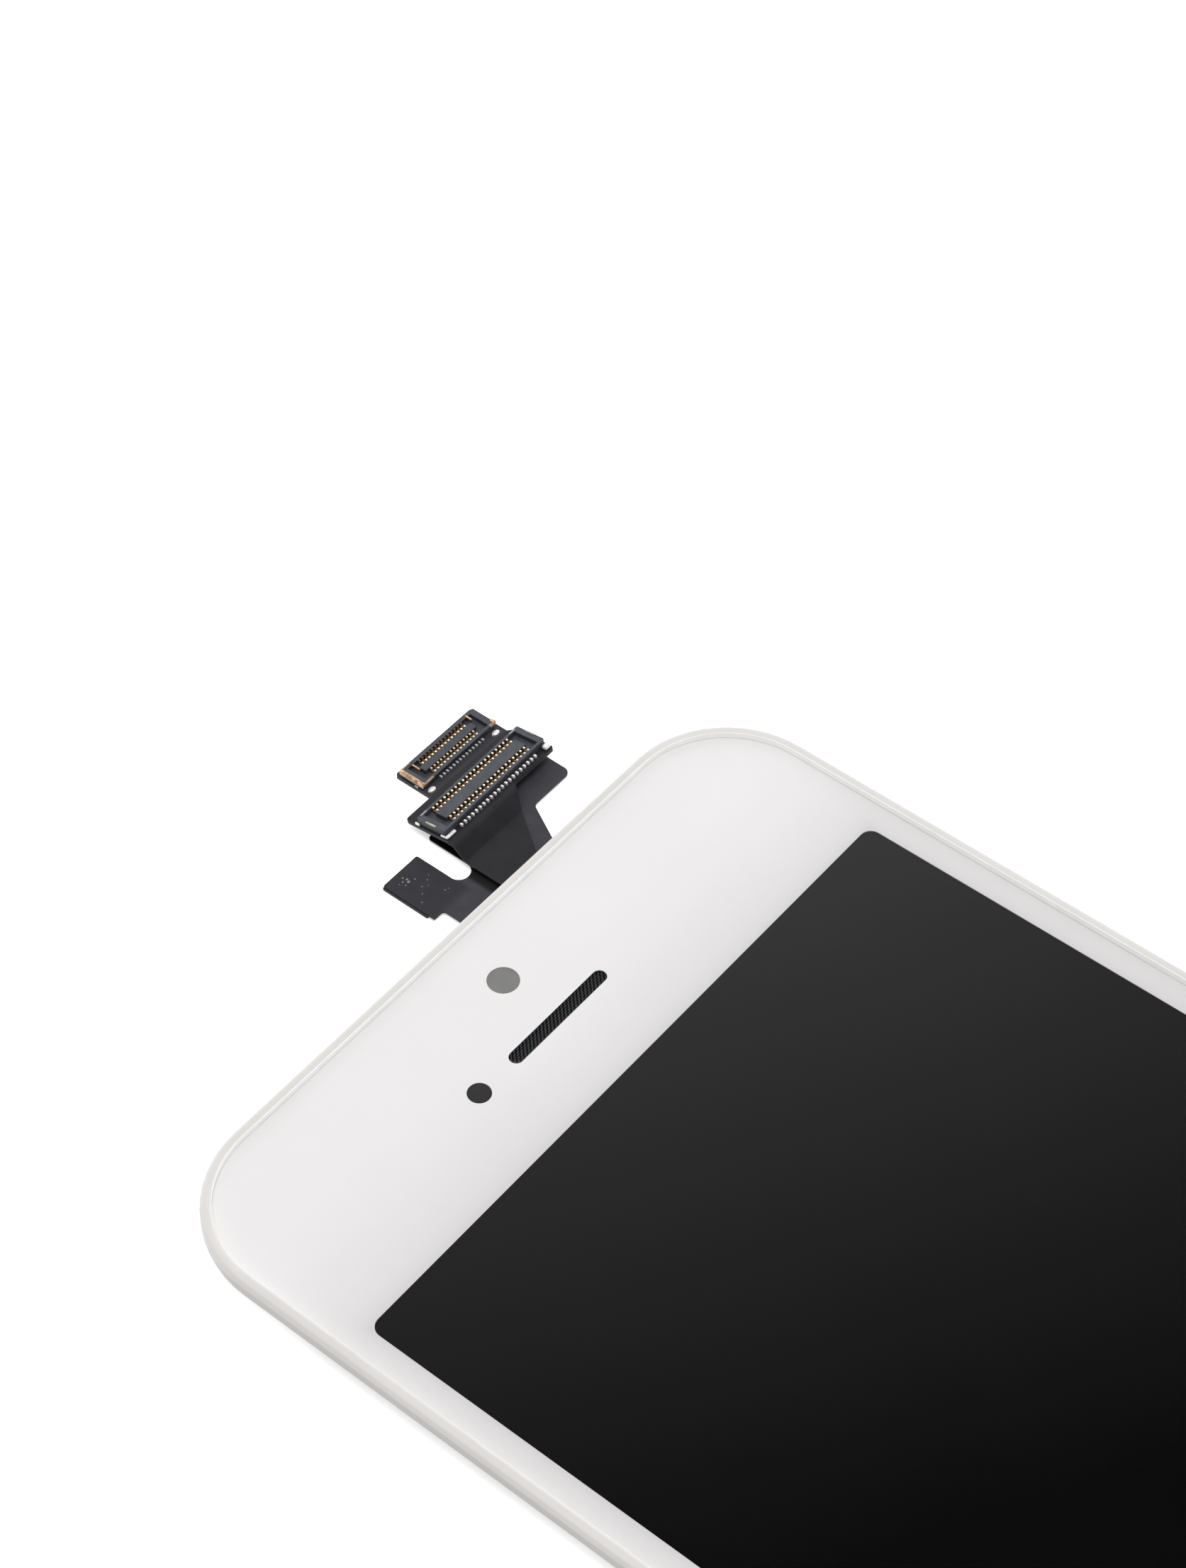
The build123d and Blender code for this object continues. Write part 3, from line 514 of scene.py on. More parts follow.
# Display cell: two thin glasses sealed together, with the driver chip bonded on the
# bare ledge of the rear one. The ground glass edges look pale green.
cell_finish = mottled(
    "cell_glass",
    dark=(0.30, 0.35, 0.34),
    light=(0.36, 0.42, 0.41),
    blotch=0.01,
    grain=0.0002,
    grain_depth=0.000002,
    Roughness=0.12,
    Coat_Weight=0.4,
    Coat_Roughness=0.05,
)
dress(cell_finish, "colour_filter_glass", "tft_glass")
chip_finish = mottled(
    "silicon_chip",
    dark=(0.050, 0.050, 0.060),
    light=(0.075, 0.075, 0.088),
    blotch=0.001,
    grain=0.0001,
    grain_depth=0.000001,
    Roughness=0.25,
    Metallic=0.4,
)
dress(chip_finish, "driver_chip")


# Backlight films, cut from rolls: two prism films, a diffuser and a white reflector
# round a moulded acrylic light guide.
def stripes(tree, scale):
    """Even ridges that run along Y, finer with a larger scale."""
    inputs = {"Vector": object_place(tree), "Scale": scale}
    bands = {"wave_type": "BANDS", "bands_direction": "X"}
    return add_node(tree, "ShaderNodeTexWave", inputs, **bands).outputs["Fac"]


prism_scale = 3000.0
prism_depth = 0.02 * MM
prism_finish, prism_tree, prism_shader = start_material("prism_film")
ridges = stripes(prism_tree, prism_scale)
prism_tone = two_tones(prism_tree, (0.72, 0.74, 0.76), (0.79, 0.81, 0.82), 0.004)
prism_tree.links.new(prism_tone, prism_shader.inputs["Base Color"])
bump(prism_tree, prism_shader, ridges, prism_depth)
set_shader(prism_shader, Roughness=0.25)
dress(prism_finish, "prism_film_upper", "prism_film_lower")
milky_finish = mottled(
    "milky_film",
    dark=(0.80, 0.81, 0.80),
    light=(0.86, 0.87, 0.86),
    blotch=0.004,
    grain=0.00008,
    grain_depth=0.000003,
    Roughness=0.5,
)
dress(milky_finish, "diffuser_film", "reflector_film")
guide_finish = mottled(
    "acrylic_guide",
    dark=(0.74, 0.79, 0.80),
    light=(0.80, 0.84, 0.85),
    blotch=0.003,
    grain=0.0004,
    grain_depth=0.000004,
    Roughness=0.1,
    Coat_Weight=0.5,
)
dress(guide_finish, "light_guide")


# Side lights: white diodes with a yellow phosphor face, soldered to a narrow
# flexible strip at the connector end of the light guide.
def place_on(tree):
    """A point's X, Y and Z in object space, as three sockets."""
    return add_node(tree, "ShaderNodeSeparateXYZ", {"Vector": object_place(tree)}).outputs


phosphor_yellow = (0.78, 0.62, 0.16)
body_white = (0.84, 0.83, 0.80)
phosphor_depth = 0.08 * MM
front_line = box_of("backlight_leds")[0].y + phosphor_depth
diode_finish, diode_tree, diode_shader = start_material("diode_body")
is_body = math_node(diode_tree, "GREATER_THAN", place_on(diode_tree)["Y"], front_line)
diode_tone = ramp(diode_tree, is_body, [(0.0, phosphor_yellow), (1.0, body_white)])
diode_tree.links.new(diode_tone, diode_shader.inputs["Base Color"])
bump(diode_tree, diode_shader, object_noise(diode_tree, 0.0002), 0.000004)
set_shader(diode_shader, Roughness=0.4)
dress(diode_finish, "backlight_leds")
strip_finish = mottled(
    "strip_film",
    dark=(0.030, 0.028, 0.034),
    light=(0.042, 0.040, 0.047),
    blotch=0.001,
    grain=0.0001,
    grain_depth=0.000003,
    Roughness=0.5,
)
dress(strip_finish, "led_strip")

# Backlight frame: a thin white moulding that holds the films. Black tape on its
# ledge carries the cell and stops stray light.
moulding_finish = mottled(
    "white_moulding",
    dark=(0.76, 0.76, 0.75),
    light=(0.82, 0.82, 0.81),
    blotch=0.006,
    grain=0.0001,
    grain_depth=0.000002,
    Roughness=0.35,
)
dress(moulding_finish, "backlight_frame")
tape_finish = mottled(
    "black_tape",
    dark=(0.010, 0.010, 0.011),
    light=(0.020, 0.020, 0.021),
    blotch=0.002,
    grain=0.00015,
    grain_depth=0.000004,
    Roughness=0.55,
)
dress(tape_finish, "rim_tape")


# Backlight tray: rolled stainless sheet, pressed with a low plateau and folded up
# round the light guide. Its folds are small radii, and its base is brushed lengthways.
def copy_piece(piece):
    """A copy of a piece with its own mesh."""
    pick(piece)
    bpy.ops.object.duplicate()
    return bpy.context.object


def soft_copy(name, width, segments=2, sharper_than=40.0):
    """A merged copy of a CAD node with its sharp edges rounded, and smooth between them."""
    piece = copy_piece(nodes[name])
    piece.name = name + "_finished"
    bpy.ops.object.mode_set(mode="EDIT")
    bpy.ops.mesh.select_all(action="SELECT")
    bpy.ops.mesh.remove_doubles(threshold=micron)
    bpy.ops.mesh.dissolve_limited(angle_limit=math.radians(0.5))
    bpy.ops.object.mode_set(mode="OBJECT")
    smooth_below(35.0)
    modifier = piece.modifiers.new("edge", "BEVEL")
    modifier.width = width
    modifier.segments = segments
    modifier.limit_method = "ANGLE"
    modifier.angle_limit = math.radians(sharper_than)
    modifier.harden_normals = True
    bpy.ops.object.modifier_apply(modifier=modifier.name)
    return piece


def brushed_metal(name, dark, light, lines, roughness):
    """Rolled or brushed metal with streaks along Y, about lines metres wide."""
    material, tree, shader = start_material(name)
    streaks = object_noise(tree, lines, 6.0, (1.0, 0.02, 1.0))
    cloud = object_noise(tree, 0.012)
    blend = math_node(tree, "MULTIPLY_ADD", cloud, 0.5, math_node(tree, "MULTIPLY", streaks, 0.5))
    tone = ramp(tree, blend, [(0.35, dark), (0.65, light)])
    tree.links.new(tone, shader.inputs["Base Color"])
    shine = math_node(tree, "MULTIPLY_ADD", streaks, 0.2, roughness - 0.1)
    tree.links.new(shine, shader.inputs["Roughness"])
    bump(tree, shader, streaks, 0.000006)
    set_shader(shader, Metallic=1.0)
    return material


tray_finish = brushed_metal(
    "tray_steel",
    dark=(0.52, 0.52, 0.53),
    light=(0.66, 0.66, 0.67),
    lines=0.0003,
    roughness=0.34,
)
tray = soft_copy("backlight_tray", 0.05 * MM)
fit(tray, tray_finish, "tray_steel", "backlight_tray")


# Frame: white injection-moulded plastic glued round the glass, with a rounded rim, a
# stepped skirt, and two screw bosses. The skirt's colour is painted darker, as painted
# shade on the side wall below the rim.
def shade_base(material, factor):
    """Scales a finish's own colour by a factor that changes over the piece."""
    tree = material.node_tree
    base = tree.nodes["Principled BSDF"].inputs["Base Color"]
    tree.links.new(scaled(tree, base.links[0].from_socket, factor), base)


skirt_top = 2.20 * MM
rim_start = 2.55 * MM
skirt_painted_shade = 0.64
plastic_finish = mottled(
    "white_frame_plastic",
    dark=(0.646, 0.625, 0.604),
    light=(0.675, 0.654, 0.633),
    blotch=0.008,
    grain=0.00012,
    grain_depth=0.000002,
    Roughness=0.35,
)
plastic_tree = plastic_finish.node_tree
plastic_height = place_on(plastic_tree)["Z"]
# Painted shade: the colour falls to 0.64 of itself on the skirt, below the rim.
wall_painted_shade = spread(plastic_tree, plastic_height, skirt_top, rim_start, skirt_painted_shade, 1.0)
shade_base(plastic_finish, wall_painted_shade)
bezel = soft_copy("bezel_frame", 0.03 * MM, sharper_than=50.0)
fit(bezel, plastic_finish, "bezel_plastic", "bezel_frame")

# Frame glue: soft white hot-melt that beds the glass on the frame's seat and is
# squeezed up into the gap round it.
glue_low, glue_high = box_of("glass_adhesive")
glue_inset = 0.05 * MM
rim_gap = 0.06 * MM
glue_width = Vector((0.42 * MM, 0.87 * MM, 0.0))
opening_radius = glass_radius - 0.47 * MM
bead_gap = 0.008 * MM
bead_drop = 0.06 * MM
bead_growth = Vector((glue_inset + rim_gap, glue_inset + rim_gap, 0.0))
bead_rise = Vector((0.0, 0.0, glass_high.z - bead_drop - glue_high.z))
bead_high = glue_high + bead_growth + bead_rise
glue_radius = glass_radius + rim_gap
glue = slab("glass_glue", glue_low - bead_growth, bead_high, glue_radius, corner_segments)
room_low = Vector((glass_low.x - bead_gap, glass_low.y - bead_gap, glue_high.z))
room_high = glass_high + deep + Vector((bead_gap, bead_gap, 0.0))
cut(glue, slab("glass_room", room_low, room_high, glass_radius + bead_gap, corner_segments))
opening_low = glue_low + glue_width - deep
opening_high = glue_high - glue_width + deep
cut(glue, slab("opening", opening_low, opening_high, opening_radius, corner_segments))
glue_finish = mottled(
    "white_hot_melt",
    dark=(0.74, 0.735, 0.73),
    light=(0.80, 0.795, 0.79),
    blotch=0.001,
    grain=0.0002,
    grain_depth=0.000004,
    Roughness=0.5,
)
fit(glue, glue_finish, "frame_adhesive", "glass_adhesive")

# Side rails and screw lugs: pressed stainless steel, set into the frame's skirt and
# under its seat, with brushed faces and blunted edges.
rail_finish = brushed_metal(
    "rail_steel",
    dark=(0.46, 0.46, 0.47),
    light=(0.62, 0.62, 0.63),
    lines=0.0002,
    roughness=0.36,
)
for rail_name in ("left_rail", "right_rail"):
    rail = soft_copy(rail_name, 0.03 * MM)
    fit(rail, rail_finish, "rail_steel", rail_name)
for lug_name in ("left_screw_lug", "right_screw_lug"):
    lug = soft_copy(lug_name, 0.05 * MM)
    fit(lug, rail_finish, "rail_steel", lug_name)

# Earpiece mesh: black wire cloth behind the slot, woven over and under, with a foam
# gasket stuck behind it.
wire_radius = 0.045 * MM
weave_pitch = 0.17 * MM
weave_rise = 0.040 * MM
backing_gauge = 0.02 * MM
mesh_low, mesh_high = box_of("earpiece_mesh")
mesh_finish = mottled(
    "black_wire_cloth",
    dark=(0.030, 0.031, 0.038),
    light=(0.052, 0.055, 0.062),
    blotch=0.0002,
    grain=0.00005,
    grain_depth=0.000002,
    Roughness=0.45,
    Metallic=0.3,
)


def wire(name, length, first_up):
    """One wire along X, bent over and under at every crossing."""
    count = int(length / weave_pitch)
    quarter = math.pi / 2
    bpy.ops.object.select_all(action="DESELECT")
    bpy.ops.mesh.primitive_circle_add(vertices=6, radius=wire_radius, fill_type="NGON")
    strand = bpy.context.object
    strand.name = name
    bpy.ops.object.mode_set(mode="EDIT")
    bpy.ops.mesh.select_all(action="SELECT")
    bpy.ops.transform.rotate(value=-quarter, orient_axis="Y", center_override=(0.0, 0.0, 0.0))
    start = -count * weave_pitch / 2
    height = weave_rise if first_up else -weave_rise
    bpy.ops.transform.translate(value=(start, 0.0, height))
    for number in range(count):
        height = -height
        bpy.ops.mesh.extrude_region_move(
            TRANSFORM_OT_translate={"value": (weave_pitch, 0.0, 2 * height)}
        )
    bpy.ops.mesh.select_all(action="SELECT")
    bpy.ops.mesh.normals_make_consistent(inside=False)
    bpy.ops.object.mode_set(mode="OBJECT")
    return strand


def settle(piece, matrix):
    """Puts a piece in its place, with the place kept in its mesh."""
    pick(piece)
    piece.matrix_world = matrix @ piece.matrix_world
    bpy.ops.object.transform_apply(location=True, rotation=True, scale=True)


def join(name, pieces):
    """Joins pieces into one."""
    bpy.ops.object.select_all(action="DESELECT")
    for piece in pieces:
        piece.select_set(True)
    bpy.context.view_layer.objects.active = pieces[0]
    bpy.ops.object.join()
    pieces[0].name = name
    return pieces[0]


slot_reach = 0.20 * MM
weave_length = slot_length + 2 * slot_reach
weave_width = slot_width + 2 * slot_reach
long_count = int(weave_width / weave_pitch)
short_count = int(weave_length / weave_pitch)
weave_z = mesh_high.z - 2 * wire_radius - 0.5 * weave_rise
weave_centre = Vector((slot_centre.x, slot_centre.y, weave_z))
long_wires = [wire("long_wire_0", weave_length, True), wire("long_wire_1", weave_length, False)]
short_wires = [wire("short_wire_0", weave_width, False), wire("short_wire_1", weave_width, True)]
quarter_turn = Matrix.Rotation(math.pi / 2, 4, "Z")
strands = []
for number in range(long_count):
    strand = copy_piece(long_wires[number % 2])
    offset = (number - (long_count - 1) / 2) * weave_pitch
    settle(strand, Matrix.Translation(weave_centre + Vector((0.0, offset, 0.0))))
    strands.append(strand)
for number in range(short_count):
    strand = copy_piece(short_wires[number % 2])
    offset = (number - (short_count - 1) / 2) * weave_pitch
    settle(strand, Matrix.Translation(weave_centre + Vector((offset, 0.0, 0.0))) @ quarter_turn)
    strands.append(strand)
for pattern in long_wires + short_wires:
    bpy.data.objects.remove(pattern)
cloth = join("earpiece_wire_cloth", strands)
backing_high = Vector((mesh_high.x, mesh_high.y, mesh_low.z + backing_gauge))
backing_radius = 0.49 * (mesh_high.y - mesh_low.y)
backing = slab("earpiece_backing", mesh_low, backing_high, backing_radius, end_segments)
gauze_finish = mottled(
    "black_gauze",
    dark=(0.0015, 0.0015, 0.0018),
    light=(0.0040, 0.0038, 0.0040),
    blotch=0.0002,
    grain=0.00005,
    grain_depth=0.000002,
    Roughness=0.9,
    Specular_IOR_Level=0.1,
)
cloth = join(cloth.name, [finished(cloth, mesh_finish), finished(backing, gauze_finish)])
fit(cloth, None, "mesh", "earpiece_mesh")
foam_finish = mottled(
    "black_foam",
    dark=(0.012, 0.012, 0.013),
    light=(0.032, 0.032, 0.033),
    blotch=0.0004,
    grain=0.0001,
    grain_depth=0.00003,
    Roughness=0.9,
    Specular_IOR_Level=0.2,
)
dress(foam_finish, "earpiece_gasket")

# Camera window: a smoky film behind the clear spot in the print, with a moulded
# black ring that guides the camera. The film's flat grey is painted shade, standing for
# the shaded floor seen through the window. The sensor's dark filter sits in a like holder.
window_shade_finish = mottled(
    "smoky_film_painted_shade",
    dark=(0.172, 0.172, 0.168),
    light=(0.192, 0.192, 0.187),
    blotch=0.001,
    grain=0.0002,
    grain_depth=0.000002,
    Roughness=0.5,
    Specular_IOR_Level=0.2,
)
dress(window_shade_finish, "camera_window_film")
holder_finish = mottled(
    "black_moulding",
    dark=(0.018, 0.018, 0.018),
    light=(0.030, 0.030, 0.030),
    blotch=0.002,
    grain=0.0001,
    grain_depth=0.000004,
    Roughness=0.45,
)
ring = soft_copy("camera_ring", 0.04 * MM)
fit(ring, holder_finish, "ring_plastic", "camera_ring")
holder = soft_copy("sensor_holder", 0.04 * MM)
fit(holder, holder_finish, "ring_plastic", "sensor_holder")
filter_finish = mottled(
    "dark_filter",
    dark=(0.0040, 0.0028, 0.0048),
    light=(0.0065, 0.0048, 0.0078),
    blotch=0.001,
    grain=0.0002,
    grain_depth=0.000001,
    Roughness=0.3,
    Specular_IOR_Level=0.1,
)
dress(filter_finish, "sensor_filter")


# Flexible circuits: copper tracks between two dark cover films, punched to shape. The
# upper one is nearly black. The lower one is a little lighter, with a darker matt tail pad,
# and a band of painted shadow beside the upper one's left edge, where that one hovers.
track_scale = 620.0


def circuit_film(name, dark, light, roughness):
    """Dark cover film, with the faint ridges of the tracks that run under it along Y."""
    material, tree, shader = start_material(name)
    tracks = stripes(tree, track_scale)
    patches = math_node(tree, "GREATER_THAN", object_noise(tree, 0.004, 1.0, (1.0, 0.3, 1.0)), 0.5)
    ridges = math_node(tree, "MULTIPLY", tracks, patches)
    grain = object_noise(tree, 0.00008)
    relief = math_node(tree, "MULTIPLY_ADD", grain, 0.5, ridges)
    tree.links.new(two_tones(tree, dark, light, 0.0012), shader.inputs["Base Color"])
    bump(tree, shader, relief, 0.000006)
    set_shader(shader, Roughness=roughness, Specular_IOR_Level=0.16)
    return material


upper_finish = circuit_film(
    "upper_film",
    dark=(0.0135, 0.013, 0.0165),
    light=(0.0190, 0.0185, 0.0230),
    roughness=0.45,
)
lower_finish = circuit_film(
    "lower_film",
    dark=(0.039, 0.037, 0.045),
    light=(0.049, 0.047, 0.056),
    roughness=0.5,
)
lower_tree = lower_finish.node_tree
lower_place = place_on(lower_tree)


def shade_between(axis, start, end, most):
    """A shade that rises from 0 to most between two places along an axis, in mm."""
    return spread(lower_tree, lower_place[axis], start * MM, end * MM, 0.0, most)


pad_along = shade_between("Y", 62.9, 63.6, 0.38)
pad_side = shade_between("X", 5.7, 5.3, 1.0)
pad_shade = math_node(lower_tree, "MULTIPLY", pad_along, pad_side)
# Painted shadow: a near-black band on the lower film beside the upper film's left edge.
painted_shadow_start = shade_between("X", 5.90, 6.25, 0.97)
painted_shadow_end = shade_between("X", 9.5, 9.0, 1.0)
painted_shadow_band = math_node(lower_tree, "MULTIPLY", painted_shadow_start, painted_shadow_end)
shade = math_node(lower_tree, "MAXIMUM", pad_shade, painted_shadow_band)
shade_base(lower_finish, math_node(lower_tree, "SUBTRACT", 1.0, shade))
dress(upper_finish, "upper_flex")
dress(lower_finish, "lower_flex")

# Stiffeners: dark glass-epoxy plates bonded under the boards and the tail pad, so that
# the connectors and the pad stay flat. Their routed edges are slightly blunted.
stiffener_finish = mottled(
    "stiffener_plate",
    dark=(0.022, 0.021, 0.024),
    light=(0.032, 0.031, 0.035),
    blotch=0.001,
    grain=0.00012,
    grain_depth=0.000004,
    Roughness=0.6,
    Specular_IOR_Level=0.3,
)
for plate_name in ("tail_stiffener", "end_stiffener", "near_stiffener"):
    plate = soft_copy(plate_name, 0.02 * MM, segments=1)
    fit(plate, stiffener_finish, "stiffener", plate_name)


# Specks: crumbs of white adhesive and dust. They stick to the bare face of the tail
# pad, and show there as low domes.
def ball(centre, size, segments, ring_count):
    """A ball stretched to three half sizes."""
    bpy.ops.object.select_all(action="DESELECT")
    bpy.ops.mesh.primitive_uv_sphere_add(
        segments=segments, ring_count=ring_count, radius=1.0, location=centre
    )
    piece = bpy.context.object
    piece.scale = size
    bpy.ops.object.transform_apply(location=True, rotation=True, scale=True)
    return piece


def blister(centre, size, floor, segments, ring_count):
    """A stretched ball without what lies below the height of the floor."""
    piece = ball(centre, size, segments, ring_count)
    bpy.ops.object.mode_set(mode="EDIT")
    bpy.ops.mesh.select_all(action="SELECT")
    bpy.ops.mesh.bisect(
        plane_co=(0.0, 0.0, floor), plane_no=(0.0, 0.0, 1.0), use_fill=True, clear_inner=True
    )
    bpy.ops.object.mode_set(mode="OBJECT")
    return piece


speck_finish = mottled(
    "adhesive_speck",
    dark=(0.16, 0.16, 0.165),
    light=(0.34, 0.34, 0.345),
    blotch=0.0002,
    grain=0.00005,
    grain_depth=0.000002,
    Roughness=0.7,
)
film_gauge = 0.12 * MM
pad_top = box_of("tail_stiffener")[1].z + film_gauge
speck_floor = pad_top + 0.002 * MM
speck_height = 0.014
# Each speck's X, Y and half length, in mm.
speck_places = (
    (3.26, 67.29, 0.07),
    (3.36, 66.98, 0.10),
    (3.27, 66.76, 0.12),
    (2.99, 67.05, 0.07),
    (3.72, 66.59, 0.07),
    (2.92, 66.71, 0.06),
    (2.67, 67.08, 0.05),
    (4.19, 65.90, 0.05),
    (3.84, 65.52, 0.04),
    (3.52, 65.79, 0.05),
    (3.06, 65.36, 0.05),
    (2.47, 64.89, 0.06),
    (4.29, 64.39, 0.06),
    (4.55, 64.29, 0.04),
    (4.58, 66.11, 0.04),
)
specks = []
for speck_x, speck_y, half_length in speck_places:
    speck_centre = (speck_x * MM, speck_y * MM, pad_top)
    speck_size = Vector((half_length, 0.8 * half_length, speck_height)) * MM
    specks.append(blister(speck_centre, speck_size, speck_floor, segments=8, ring_count=6))
speckle = join("pad_specks", specks)
fit(speckle, speck_finish, "flex_circuit")

# Connector bodies: dark blue-grey liquid-crystal plastic, moulded as a ring of walls
# round a centre island, with softly rounded edges.
body_finish = mottled(
    "connector_body",
    dark=(0.040, 0.045, 0.056),
    light=(0.060, 0.066, 0.080),
    blotch=0.0006,
    grain=0.00008,
    grain_depth=0.000002,
    Roughness=0.5,
    Specular_IOR_Level=0.35,
)
for body_name in ("near_connector_housing", "far_connector_housing"):
    body = soft_copy(body_name, 0.035 * MM)
    fit(body, body_finish, "connector_plastic", body_name)

# Contacts: two facing rows of stamped and formed bronze springs in each body. Their
# heads are gold-plated, and their tails are tinned and soldered to the board. Their bare
# bronze is painted darker than the metal is, as painted shade down in the grooves. A
# still darker copy, also painted shade, covers the tails' upper parts and the small
# connector's back root heads, and its front tip heads are gold in painted shade.
gold_finish = mottled(
    "gold_plate",
    dark=(0.88, 0.75, 0.52),
    light=(0.97, 0.86, 0.66),
    blotch=0.0003,
    grain=0.00004,
    grain_depth=0.000001,
    Metallic=1.0,
    Roughness=0.40,
)
# Painted shade: gold darkened for the small connector's front tip heads, which sit low.
shaded_gold_finish = mottled(
    "gold_plate_painted_shade",
    dark=(0.55, 0.42, 0.27),
    light=(0.70, 0.56, 0.38),
    blotch=0.0003,
    grain=0.00004,
    grain_depth=0.000001,
    Metallic=1.0,
    Roughness=0.42,
)
pale_finish = mottled(
    "pale_plate",
    dark=(0.70, 0.68, 0.62),
    light=(0.82, 0.79, 0.73),
    blotch=0.0003,
    grain=0.00004,
    grain_depth=0.000001,
    Metallic=0.9,
    Roughness=0.45,
)
# Painted shade: the bare bronze is darker than the metal is, for the shade in the grooves.
bronze_and_shade_finish = mottled(
    "bronze_spring_painted_shade",
    dark=(0.170, 0.095, 0.045),
    light=(0.280, 0.165, 0.080),
    blotch=0.0002,
    grain=0.00004,
    grain_depth=0.000001,
    Metallic=0.2,
    Roughness=0.55,
)
# Painted shade: a still darker bronze for the tails' upper parts and shaded root heads.
shaded_bronze_finish = mottled(
    "bronze_painted_shade",
    dark=(0.080, 0.055, 0.035),
    light=(0.150, 0.100, 0.060),
    blotch=0.0002,
    grain=0.00004,
    grain_depth=0.000001,
    Metallic=0.3,
    Roughness=0.55,
)
tin_finish = mottled(
    "bright_tin",
    dark=(0.84, 0.83, 0.86),
    light=(0.95, 0.94, 0.96),
    blotch=0.0003,
    grain=0.00006,
    grain_depth=0.000002,
    Metallic=0.5,
    Roughness=0.45,
)
grey_finish = mottled(
    "grey_tin",
    dark=(0.42, 0.43, 0.45),
    light=(0.58, 0.59, 0.61),
    blotch=0.0003,
    grain=0.00006,
    grain_depth=0.000002,
    Metallic=0.6,
    Roughness=0.45,
)
contact_gauge = 0.09 * MM
contact_width = 0.17 * MM
head_size = Vector((0.106, 0.116, 0.085)) * MM
head_rise = 0.02 * MM
bow_height = 0.20 * MM
tail_height = 0.07 * MM
tail_share = 0.8
toe_length = 0.24 * MM


def every_edge(start, end):
    """Chooses each edge."""
    return True


def leaf(name, low, high, finish, blunt=0.02 * MM, segments=1):
    """A strip of contact metal with blunted edges."""
    strip = block(name, low, high)
    round_edges(strip, every_edge, blunt, segments)
    return finished(strip, finish)


def contact_head(name, y, top, finish):
    """The rounded head of a spring, where the mating contact slides on."""
    head = ball((0.0, y, top - head_size.z), head_size, segments=10, ring_count=6)
    head.name = name
    bpy.ops.object.shade_smooth()
    return finished(head, finish)


def contact(tip, root, height, reach, toe_size, tip_finish, root_finish, toe_finish):
    """One spring along Y, with a tail and a toe. toe_size is the toe's width and height."""
    half = contact_width / 2
    toe_half = toe_size[0] / 2
    tail_half = tail_share * toe_half
    gauge = contact_gauge
    back = root + gauge / 2
    top = height + head_rise
    shoulder = top - 0.8 * head_size.z
    bow_high = (half, back, bow_height + gauge)
    toe_low = (-toe_half, reach - toe_length, 0.0)
    toe_high = (toe_half, reach, toe_size[1])
    tail_high = (tail_half, reach - toe_length / 2, tail_height)
    parts = [
        leaf("tip_leaf", (-half, tip - gauge, 0.0), (half, tip, shoulder), bronze_and_shade_finish),
        leaf("bow", (-half, tip - gauge, bow_height), bow_high, bronze_and_shade_finish),
        leaf("root_leaf", (-half, back - gauge, 0.0), (half, back, shoulder), bronze_and_shade_finish),
        # The tail's dark bronze is painted shade.
        leaf("tail", (-tail_half, root, 0.0), tail_high, shaded_bronze_finish),
        leaf("toe", toe_low, toe_high, toe_finish, blunt=0.4 * toe_half, segments=2),
        contact_head("tip_head", tip, top, tip_finish),
        contact_head("root_head", root - 0.2 * gauge, top, root_finish),
    ]
    return join("contact", parts)


def contact_row(pattern, pitch, count):
    """A row of contacts, centred along X, copied from one."""
    settle(pattern, Matrix.Translation((-(count - 1) * pitch / 2, 0.0, 0.0)))
    repeat = pattern.modifiers.new("row", "ARRAY")
    repeat.count = count
    repeat.use_relative_offset = False
    repeat.use_constant_offset = True
    repeat.constant_offset_displace = (pitch, 0.0, 0.0)
    bpy.ops.object.modifier_apply(modifier=repeat.name)
    return pattern


def seat_of(body_name, height, droop=0.0, turn=0.0):
    """The place of a connector's underside, which droops and turns with its board."""
    low, high = box_of(body_name)
    lean = Matrix.Rotation(-math.radians(droop), 4, "X")
    lean = lean @ Matrix.Rotation(math.radians(turn), 4, "Z")
    return Matrix.Translation((low + high) / 2) @ lean @ Matrix.Translation((0, 0, -height / 2))


half_turn = Matrix.Rotation(math.pi, 4, "Z")
low_toe = (0.18 * MM, 0.10 * MM)
near_height = 0.52 * MM
near_pitch = 0.40 * MM
near_count = 21
near_seat = seat_of("near_connector_housing", near_height, droop=8.0, turn=1.1)
near_tip = 0.58 * MM
near_root = 0.98 * MM
near_back_end = 1.50 * MM
near_front_end = 1.64 * MM
near_springs = (near_tip, near_root, near_height)
near_toe = (0.175 * MM, 0.26 * MM)
near_back = contact(*near_springs, near_back_end, low_toe, gold_finish, gold_finish, tin_finish)
near_front = contact(*near_springs, near_front_end, near_toe, gold_finish, pale_finish, tin_finish)
far_height = 0.50 * MM
far_pitch = 0.343 * MM
far_count = 14
far_seat = seat_of("far_connector_housing", far_height)
far_tip = 0.39 * MM
far_root = 0.76 * MM
far_back_end = 1.30 * MM
far_front_end = 1.38 * MM
far_springs = (far_tip, far_root, far_height)
far_toe = (0.15 * MM, 0.27 * MM)
# Painted shade on the small connector's back root heads and front tip heads.
far_back = contact(*far_springs, far_back_end, low_toe, gold_finish, shaded_bronze_finish, grey_finish)
far_front = contact(*far_springs, far_front_end, far_toe, shaded_gold_finish, pale_finish, grey_finish)
for name, seat, back, front, pitch, count in (
    ("near_connector_contacts", near_seat, near_back, near_front, near_pitch, near_count),
    ("far_connector_contacts", far_seat, far_back, far_front, far_pitch, far_count),
):
    back_row = contact_row(back, pitch, count)
    front_row = contact_row(front, pitch, count)
    settle(front_row, half_turn)
    rows = join(name + "_formed", [back_row, front_row])
    settle(rows, seat)
    fit(rows, None, "gold_contacts", name)

